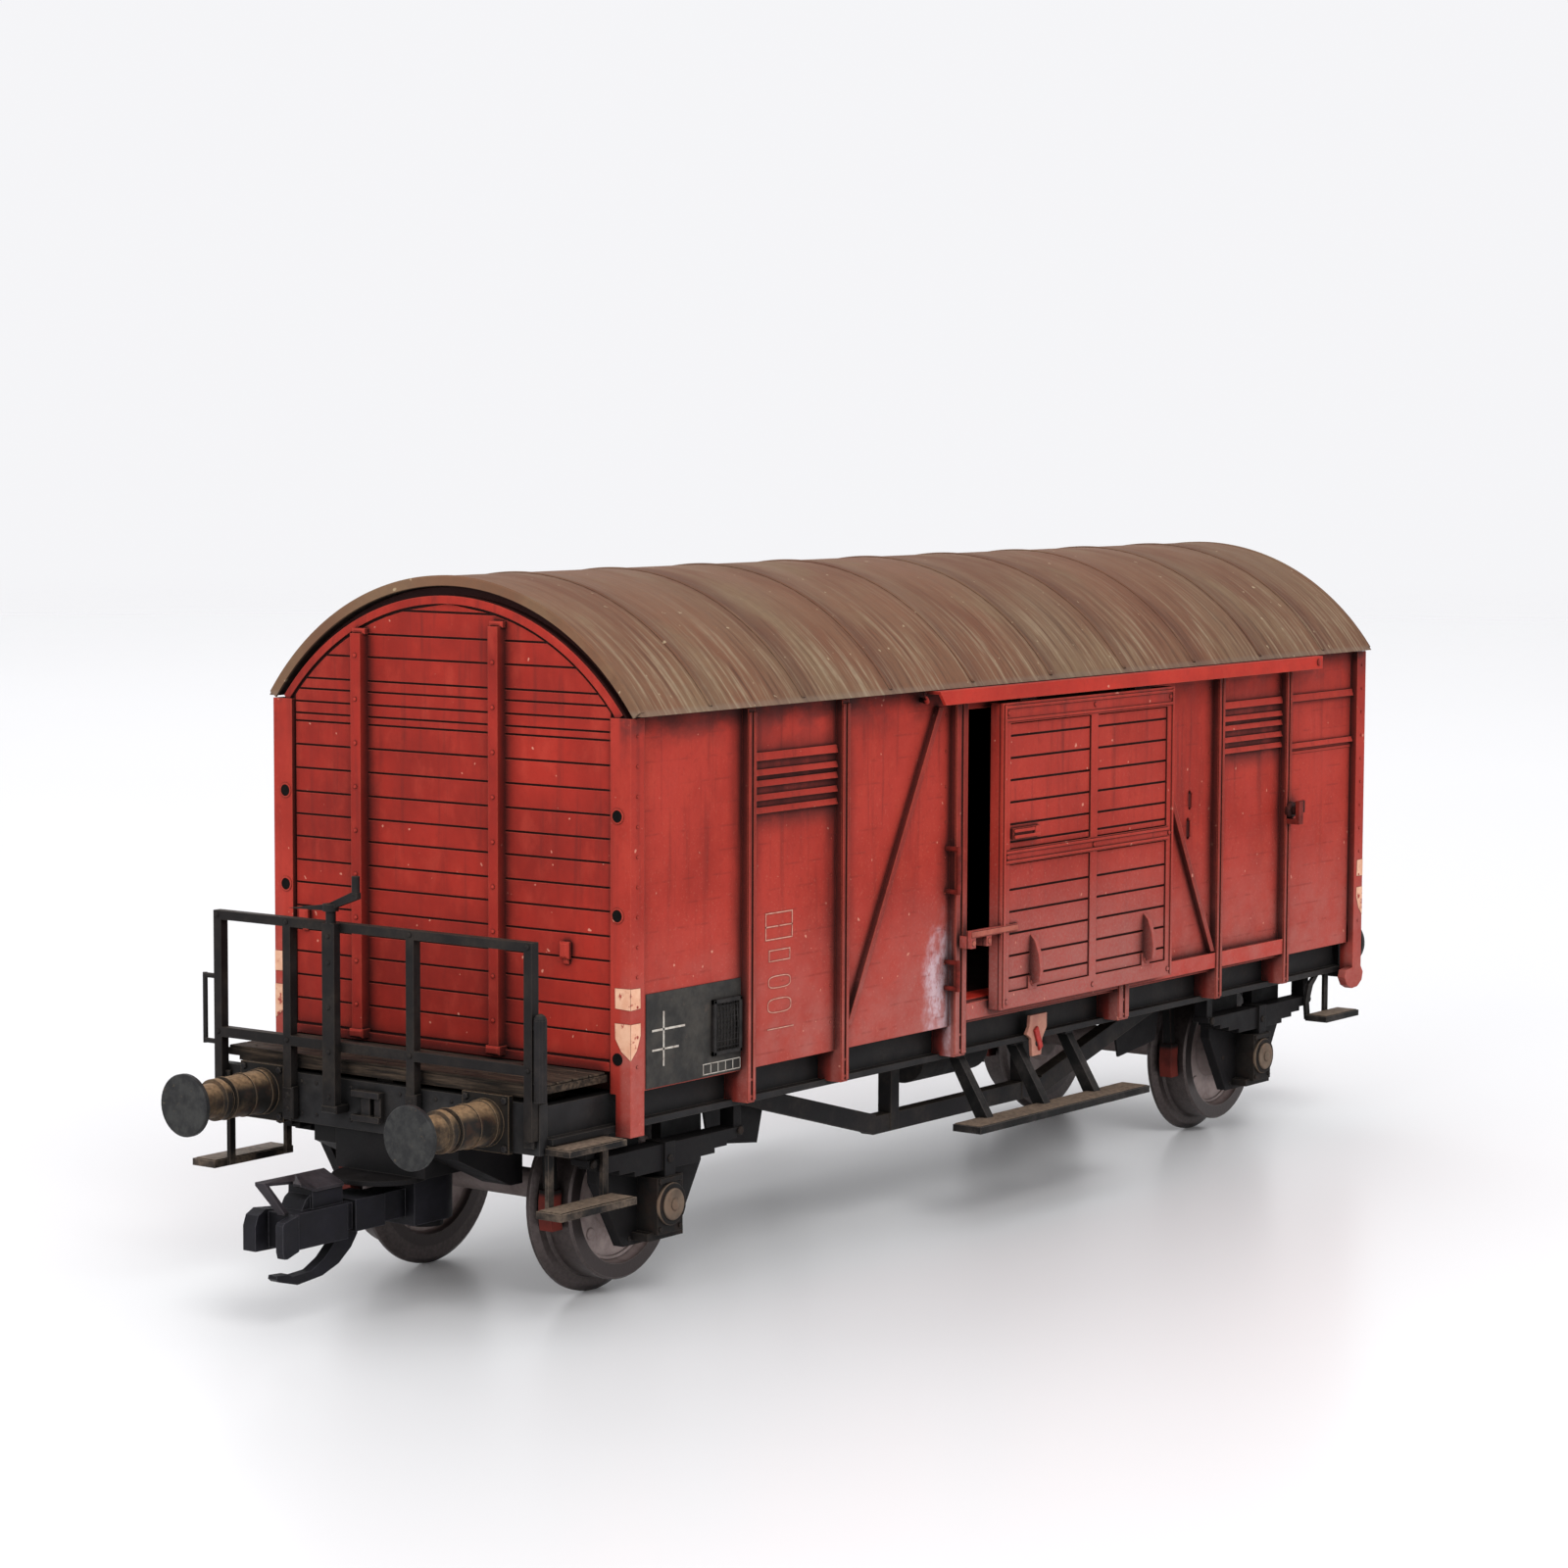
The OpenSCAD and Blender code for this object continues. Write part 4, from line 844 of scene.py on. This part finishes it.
# ------------------------------------------------------------------ corner patches and holes
b = Build()
for y in (-1, 1):
    for x, s in CORNER_FACES:
        ends_at = lambda u, v, t, x=x, s=s, y=y: (x + s * t, y * u, v)
        sides_at = lambda u, v, t, x=x, s=s, y=y: (x - s * u, y * (CORNER_Y + t), v)
        b.prism([(10.72, 15.22), (11.66, 15.18), (11.66, 16.22), (10.7, 16.2)], ends_at, 0.004, 0.02)
        b.prism([(10.72, 13.75), (11.1, 13.15), (11.66, 12.75), (11.66, 14.5), (10.7, 14.5)], ends_at,
                0.004, 0.02)
        b.prism([(0.0, 15.18), (0.74, 15.22), (0.72, 16.2), (0.0, 16.22)], sides_at, 0.004, 0.02)
        b.prism([(0.0, 12.75), (0.45, 13.2), (0.74, 13.9), (0.74, 14.5), (0.0, 14.5)], sides_at, 0.004, 0.02)
b.make("corner_marks", "wagon", "body_plastic", CREAM)

# dark discs on the corner posts stand for holes: painted shade
b = Build()
for y in (-1, 1):
    for x, s in CORNER_FACES:
        for z in (24.5, 19.7) + ((12.75,) if y * s > 0 else ()):
            b.disc((x, y * 10.85, z), (s, 0, 0), 0.3, 0.03, 24, cut=0.01)
b.make("corner_holes", "wagon", "body_plastic", HOLE)
b = Build()
for y in (-1, 1):
    for x, s in CORNER_FACES:
        for k in range(12):
            b.disc((x - s * 0.5, y * CORNER_Y, 12.4 + k * 1.45), (0, y, 0), 0.08, 0.01, 8, dome=0.05)
        for z in (24.5, 19.7):
            rings = []
            for i in range(24):
                a = 2 * math.pi * i / 24
                lip = ((0.3, 0.0), (0.3, 0.05), (0.37, 0.04), (0.39, 0.0))
                rings.append([(x + s * t, y * 10.85 + r * math.cos(a), z + r * math.sin(a)) for r, t in lip])
            rings.append(rings[0])
            b.loft(rings, smooth=False, caps=False)
b.make("corner_rivets", "wagon", "body_plastic", RED)

# ------------------------------------------------------------------ panels, left blank
PANEL_Y = -11.3


def label_panel(b):
    """The blank black panel at the left of the side."""
    b.box((-32.25, -11.265, 11.12), (-24.66, PANEL_Y, 15.75), 0.01, axis=1)


b = Build()
sides(b, label_panel)
b.make("label_panels", "wagon", "plate_plastic", PANEL)


def frame_lines(b, x0, x1, z0, z1, w, y=PANEL_Y, t=0.012):
    """Four thin bars round a rectangle on the side."""
    bars = ((x0, z0, x1, z0 + w), (x0, z1 - w, x1, z1), (x0, z0 + w, x0 + w, z1 - w),
            (x1 - w, z0 + w, x1, z1 - w))
    for u0, v0, u1, v1 in bars:
        b.box((u0, y, v0), (u1, y - t, v1), 0.0)


def panel_lines(b):
    """Plain pale lines on the black panel."""
    y = PANEL_Y
    b.box((-30.95, y, 12.1), (-30.83, y - 0.012, 14.8), 0.0)
    b.box((-31.8, y, 13.86), (-29.2, y - 0.012, 13.97), 0.0)
    b.box((-31.8, y, 12.9), (-29.7, y - 0.012, 13.0), 0.0)
    for k in range(6):
        b.box((-27.75 + k * 0.6, y, 11.25), (-27.7 + k * 0.6, y - 0.012, 11.75), 0.0)
    for z in (11.22, 11.73):
        b.box((-27.78, y, z), (-24.75, y - 0.012, z + 0.05), 0.0)


b = Build()
sides(b, panel_lines)
b.make("panel_lines", "wagon", "plate_plastic", WHITE)


def small_frames(b):
    """Empty frames and rounded rings beside the panel."""
    y = -11.265
    frame_lines(b, -22.6, -20.3, 17.35, 18.75, 0.07, y)
    b.box((-22.6, y, 18.0), (-20.3, y - 0.012, 18.07), 0.0)
    frame_lines(b, -22.3, -20.5, 16.25, 16.85, 0.06, y)
    for cx, cz, rx, rz in ((-21.4, 15.2, 0.95, 0.33), (-21.4, 14.0, 1.0, 0.38)):
        rings = []
        for i in range(36):
            a = 2 * math.pi * i / 36
            u, v = math.cos(a), math.sin(a)
            u = math.copysign(abs(u) ** 0.6, u)
            v = math.copysign(abs(v) ** 0.6, v)
            steps = ((0, 0), (0, 0.012), (0.06, 0.012), (0.06, 0))
            rings.append([(cx + (rx - d) * u, y - t, cz + (rz - d) * v) for d, t in steps])
        rings.append(rings[0])
        b.loft(rings, caps=False)
    b.box((-22.4, y, 12.8), (-20.2, y - 0.012, 12.86), 0.0)


b = Build()
sides(b, small_frames)
b.make("side_frames", "wagon", "plate_plastic", PALE)


def clip_box(b):
    """Label holder: a frame with a wire grid."""
    x0, x1, z0, z1 = -27.1, -24.8, 12.1, 14.9
    y = PANEL_Y
    w = 0.22
    bars = ((x0, z0, x1, z0 + w), (x0, z1 - w, x1, z1), (x0, z0, x0 + w, z1), (x1 - w, z0, x1, z1))
    for u0, v0, u1, v1 in bars:
        b.box((u0, y, v0), (u1, y - w, v1), 0.04, axis=1)
    for k in range(1, 8):
        x = x0 + 0.1 + k * 0.27
        b.tube([(x, y - 0.08, z0 + 0.1), (x, y - 0.16, (z0 + z1) / 2), (x, y - 0.08, z1 - 0.1)], 0.035, 6)
    for k in range(1, 9):
        z = z0 + 0.1 + k * 0.29
        b.tube([(x0 + 0.1, y - 0.1, z), (x1 - 0.1, y - 0.1, z)], 0.03, 6)


b = Build()
sides(b, clip_box)
b.make("label_holders", "wagon", "plate_plastic", HOLDER)

# ------------------------------------------------------------------ roof
b = Build()
for k in range(9):
    x = FIRST_SEAM_X + SEAM_STEP * k
    rings = []
    for i in range(97):
        a = math.radians(35.6 + 108.8 * i / 96)
        q = lambda r, dx: (x + dx, -r * math.cos(a), ROOF_Z + r * math.sin(a))
        rings.append([q(14.76, -0.16), q(14.8, -0.13), q(14.84, 0.0), q(14.81, 0.1), q(14.76, 0.13)])
    b.loft(rings, smooth=True)
# turned edge of the roof sheet at both ends
for x in (-33.63, 38.93):
    rings = []
    s = -1 if x < 0 else 1
    for i in range(97):
        a = math.radians(35.4 + 109.2 * i / 96)
        q = lambda r, dx: (x + s * dx, -r * math.cos(a), ROOF_Z + r * math.sin(a))
        rings.append([q(14.3, 0.0), q(14.3, 0.1), q(14.72, 0.12), q(14.8, 0.08), q(14.8, -0.25),
                      q(14.74, -0.3)])
    b.loft(rings, smooth=False)
b.make("roof_seams", "wagon", "roof_plastic", ROOF)

# ------------------------------------------------------------------ platform
b = Build()
for k in range(4):
    x0 = -38.9 + k * 1.24
    b.box((x0 + 0.05, -10.15, 11.94), (x0 + 1.19, 10.15, 12.08), 0.04, axis=1)
for k in range(4):
    for y in (-8.8, -4.4, 0.0, 4.4, 8.8):
        b.disc((-38.3 + k * 1.24, y, 12.08), (0, 0, 1), 0.08, 0.005, 8, dome=0.03)
b.make("deck_boards", "wagon", "deck_plastic", DECK)

b = Build()
for y in (-10.1, -2.7, 5.4, 10.1):
    for z in (12.85, 18.72):
        b.disc((-39.7, y, z), (-1, 0, 0), 0.13, 0.02, 10, dome=0.07)
# straps of the posts on the headstock
for y, z0 in ((-2.7, 9.4), (5.4, 8.95)):
    b.box((-39.72, y - 0.36, z0), (-39.2, y + 0.36, z0 + 1.6), 0.08, axis=0)
    b.disc((-39.72, y, z0 + 0.45), (-1, 0, 0), 0.16, 0.02, 6, dome=0.05)
    b.disc((-39.72, y, z0 + 1.15), (-1, 0, 0), 0.16, 0.02, 6, dome=0.05)
# rivets and bosses of the brake column
for z in (10.4, 12.6, 14.8, 17.0, 18.3):
    b.disc((-40.15, 2.2, z), (-1, 0, 0), 0.12, 0.01, 10, dome=0.06)
b.box((-40.2, 1.7, 9.6), (-39.2, 2.7, 10.0), 0.08, axis=0)
b.make("railing_fittings", "wagon", "frame_plastic", RAILS)


# ------------------------------------------------------------------ underframe
def head_bolts(b):
    """Bolts of the buffer plates and the headstock, built at the plain end."""
    x = 39.5
    for s in (-1, 1):
        for dy in (-1.2, 1.2):
            for dz in (-1.15, 1.15):
                b.disc((x, s * BUFFER_Y + dy, BUFFER_Z + dz), (1, 0, 0), 0.18, 0.12, 6, cut=0.04)
        b.box((39.2, s * 9.9 - 0.3, 9.1), (39.45, s * 9.9 + 0.3, 10.9), 0.06, axis=0)
        for z in (9.5, 10.5):
            b.disc((39.45, s * 9.9, z), (1, 0, 0), 0.13, 0.02, 8, dome=0.06)
        for y in (1.6, 3.9, 4.9):
            for z in (9.2, 10.8):
                b.disc((39.2, s * y, z), (1, 0, 0), 0.11, 0.01, 8, dome=0.05)


b = Build()
ends(b, head_bolts)
b.make("headstock_bolts", "wagon", "frame_plastic", BLACK)


def buffer_rings(b):
    """Rings round the buffers' sleeves, built at the plain end."""
    for s in (-1, 1):
        for x, r, w in ((39.75, 1.14, 0.18), (40.9, 1.1, 0.14), (42.2, 1.08, 0.12)):
            prof = ((x, r - 0.12), (x + 0.03, r), (x + w - 0.03, r), (x + w, r - 0.12))
            rings = []
            for i in range(49):
                a = 2 * math.pi * i / 48
                cy, cz = math.cos(a), math.sin(a)
                rings.append([(px, s * BUFFER_Y + pr * cy, BUFFER_Z + pr * cz) for px, pr in prof])
            b.loft(rings, caps=False)


b = Build()
ends(b, buffer_rings)
b.make("buffer_rings", "wagon", "buffer_plastic", SLEEVE)


def lids(b):
    """Lids of the four axle boxes."""
    for sx in (-1, 1):
        for sy in (-1, 1):
            cx = sx * AXLE_X
            b.disc((cx, sy * 10.59, AXLE_Z), (0, sy, 0), 0.8, 0.12, 32, cut=0.06)
            b.disc((cx, sy * 10.7, AXLE_Z), (0, sy, 0), 0.3, 0.06, 16, dome=0.05)
            b.disc((cx, sy * 10.38, AXLE_Z), (0, sy, 0), 1.06, 0.2, 40, cut=0.05)


b = Build()
lids(b)
b.make("axle_box_lids", "wagon", "frame_plastic", LID)


def gear_details(b):
    """Bolts, rivets and pins of the axle boxes, guards and springs."""
    for sx in (-1, 1):
        for sy in (-1, 1):
            cx = sx * AXLE_X
            for dx, dz in ((-0.78, 1.15), (0.78, 1.15), (-0.78, -1.2), (0.78, -1.2)):
                b.disc((cx + dx, sy * 10.4, AXLE_Z + dz), (0, sy, 0), 0.14, 0.08, 6, cut=0.03)
            b.box((cx - 0.9, sy * 10.38, 6.05), (cx + 0.9, sy * 10.5, 6.3), 0.05, axis=0)
            # rivets of the axle guard
            for dx, z in ((-3.6, 8.9), (-3.6, 7.6), (-2.5, 5.0), (3.6, 8.9), (3.6, 7.6), (2.5, 5.0),
                          (-1.6, 3.3), (1.6, 3.3)):
                b.disc((cx + dx, sy * 9.1, z), (0, sy, 0), 0.13, 0.01, 10, dome=0.06)
            # spring buckle bolt and shackle pins
            b.disc((cx, sy * 10.4, 7.2), (0, sy, 0), 0.22, 0.08, 6, cut=0.04)
            for dx in (-5.85, 5.85):
                b.disc((cx + dx, sy * 10.24, 7.75), (0, sy, 0), 0.22, 0.14, 12, cut=0.05)


b = Build()
gear_details(b)
b.make("running_gear_bolts", "wagon", "frame_plastic", BOXES)


def sole_details(b):
    """Clips of the door step's hangers and a boss on the solebar."""
    for x in (-3.2, 2.5, 7.7):
        b.box((x - 0.42, -9.85, 8.9), (x + 0.42, -10.15, 9.19), 0.05, axis=0)
    b.disc((3.2, -10.9, 9.0), (0, -1, 0), 0.2, 0.02, 12, dome=0.06)


b = Build()
sides(b, sole_details)
b.make("solebar_fittings", "wagon", "frame_plastic", PLATE)


def lever(b):
    """The red lever on the changeover plate."""
    place = lambda u, v, t: (u, -(10.9 + t), v)
    b.prism([(2.75, 9.75), (3.1, 9.95), (3.62, 8.75), (3.3, 8.55)], place, 0.0, 0.14, 0.04)


b = Build()
sides(b, lever)
b.make("changeover_levers", "wagon", "plate_plastic", LEVER)


def step_treads(b):
    """Dusty treads on the door step, with the bolts of its hangers."""
    c = BODY_C
    b.box((c - 8.55, -11.55, 5.76), (c + 8.55, -13.22, 5.82), 0.03, axis=0)
    for x in (-3.2, 2.5, 7.7):
        b.disc((x, -11.75, 5.83), (0, 0, 1), 0.16, 0.02, 8, dome=0.05)


b = Build()
sides(b, step_treads)
for s in (-1, 1):
    for x0, x1, z in ((-38.85, -34.65, 9.1), (-39.55, -33.95, 6.2), (34.35, 38.35, 6.85)):
        b.box((x0 + 0.08, s * 10.58, z - 0.01), (x1 - 0.08, s * 11.92, z + 0.05), 0.03, axis=0)
b.make("step_treads", "wagon", "step_plastic", STEP)

# four bosses and a raised ring on each wheel's face
for name, sx in (("platform_end", -1), ("plain_end", 1)):
    b = Build()
    for sy in (-1, 1):
        cx = sx * AXLE_X
        for k in range(4):
            a = math.radians(45 + 90 * k)
            b.disc((cx + 2.4 * math.cos(a), sy * 6.7, AXLE_Z + 2.4 * math.sin(a)), (0, sy, 0), 0.3, 0.06, 16,
                   cut=0.03)
        rings = []
        for i in range(65):
            a = 2 * math.pi * i / 64
            rim = ((3.05, 6.68), (3.05, 6.8), (3.2, 6.84), (3.2, 6.68))
            rings.append([(cx + r * math.cos(a), sy * y, AXLE_Z + r * math.sin(a)) for r, y in rim])
        b.loft(rings, caps=False)
    b.make("wheel_face_rims_" + name, "wheelset_" + name, "wheel_steel", WHEEL)

# ------------------------------------------------------------------ floor, light, camera
g = Graph("floor_pale")
n = g.noise(0.004, 3)
col = g.mix(g.ramp(n, 0.3, 0.7), (0.82, 0.82, 0.825, 1), (0.84, 0.84, 0.845, 1))
rad = g.math("SQRT", g.math("ADD", g.mul(g.x, g.x), g.mul(g.y, g.y)))
g.finish(col, 0.3, spec=0.4)
fade = g.node("ShaderNodeMixShader")
clear = g.node("ShaderNodeBsdfTransparent")
g.link(g.ramp(rad, 220.0, 900.0), fade.inputs[0])
g.link(g.bsdf.outputs[0], fade.inputs[1])
g.link(clear.outputs[0], fade.inputs[2])
out = [q for q in g.tree.nodes if q.bl_idname == "ShaderNodeOutputMaterial"][0]
g.link(fade.outputs[0], out.inputs["Surface"])
me = bpy.data.meshes.new("floor")
ring = [(1.4 * math.cos(2 * math.pi * i / 96), 1.4 * math.sin(2 * math.pi * i / 96), 0.0) for i in range(96)]
me.from_pydata(ring, [], [list(range(96))])
me.materials.append(g.mat)
floor = bpy.data.objects.new("floor", me)
bpy.context.scene.collection.objects.link(floor)

bpy.context.scene.view_settings.view_transform = "Standard"
world = bpy.data.worlds.new("studio")
world.use_nodes = True
bg = world.node_tree.nodes["Background"]
bg.inputs["Color"].default_value = (0.915, 0.915, 0.935, 1)
bg.inputs["Strength"].default_value = 1.0
bpy.context.scene.world = world


def area(name, place, size, power):
    """A round lamp that looks at the wagon."""
    light = bpy.data.lights.new(name, "AREA")
    light.shape = "DISK"
    light.size = size
    light.energy = power
    ob = bpy.data.objects.new(name, light)
    bpy.context.scene.collection.objects.link(ob)
    p = Vector(place)
    ob.location = p
    ob.rotation_euler = (Vector((0, 0, 0.015)) - p).to_track_quat("-Z", "Y").to_euler()
    return ob


area("key", (-0.28, -0.42, 0.42), 0.30, 1.6)
area("fill", (-0.50, -0.02, 0.22), 0.35, 0.7)
area("rim", (0.35, 0.35, 0.50), 0.40, 0.8)

cam_data = bpy.data.cameras.new("camera")
cam = bpy.data.objects.new("camera", cam_data)
bpy.context.scene.collection.objects.link(cam)
yaw, pitch, roll = math.radians(36.43), math.radians(5.224), math.radians(0.232)
fwd = Vector((math.cos(yaw) * math.cos(pitch), math.sin(yaw) * math.cos(pitch), -math.sin(pitch)))
right = Vector((math.sin(yaw), -math.cos(yaw), 0))
up = right.cross(fwd)
r = math.cos(roll) * right + math.sin(roll) * up
u = -math.sin(roll) * right + math.cos(roll) * up
CAMERA = (-0.183731, -0.131318, 0.043656)
cam.matrix_world = Matrix([(r[i], u[i], -fwd[i], CAMERA[i]) for i in range(3)] + [(0, 0, 0, 1)])
cam_data.sensor_width = 36
cam_data.sensor_fit = "HORIZONTAL"
cam_data.lens = 4119.243 / 1600 * 36
cam_data.clip_start, cam_data.clip_end = 0.001, 10
bpy.context.scene.camera = cam
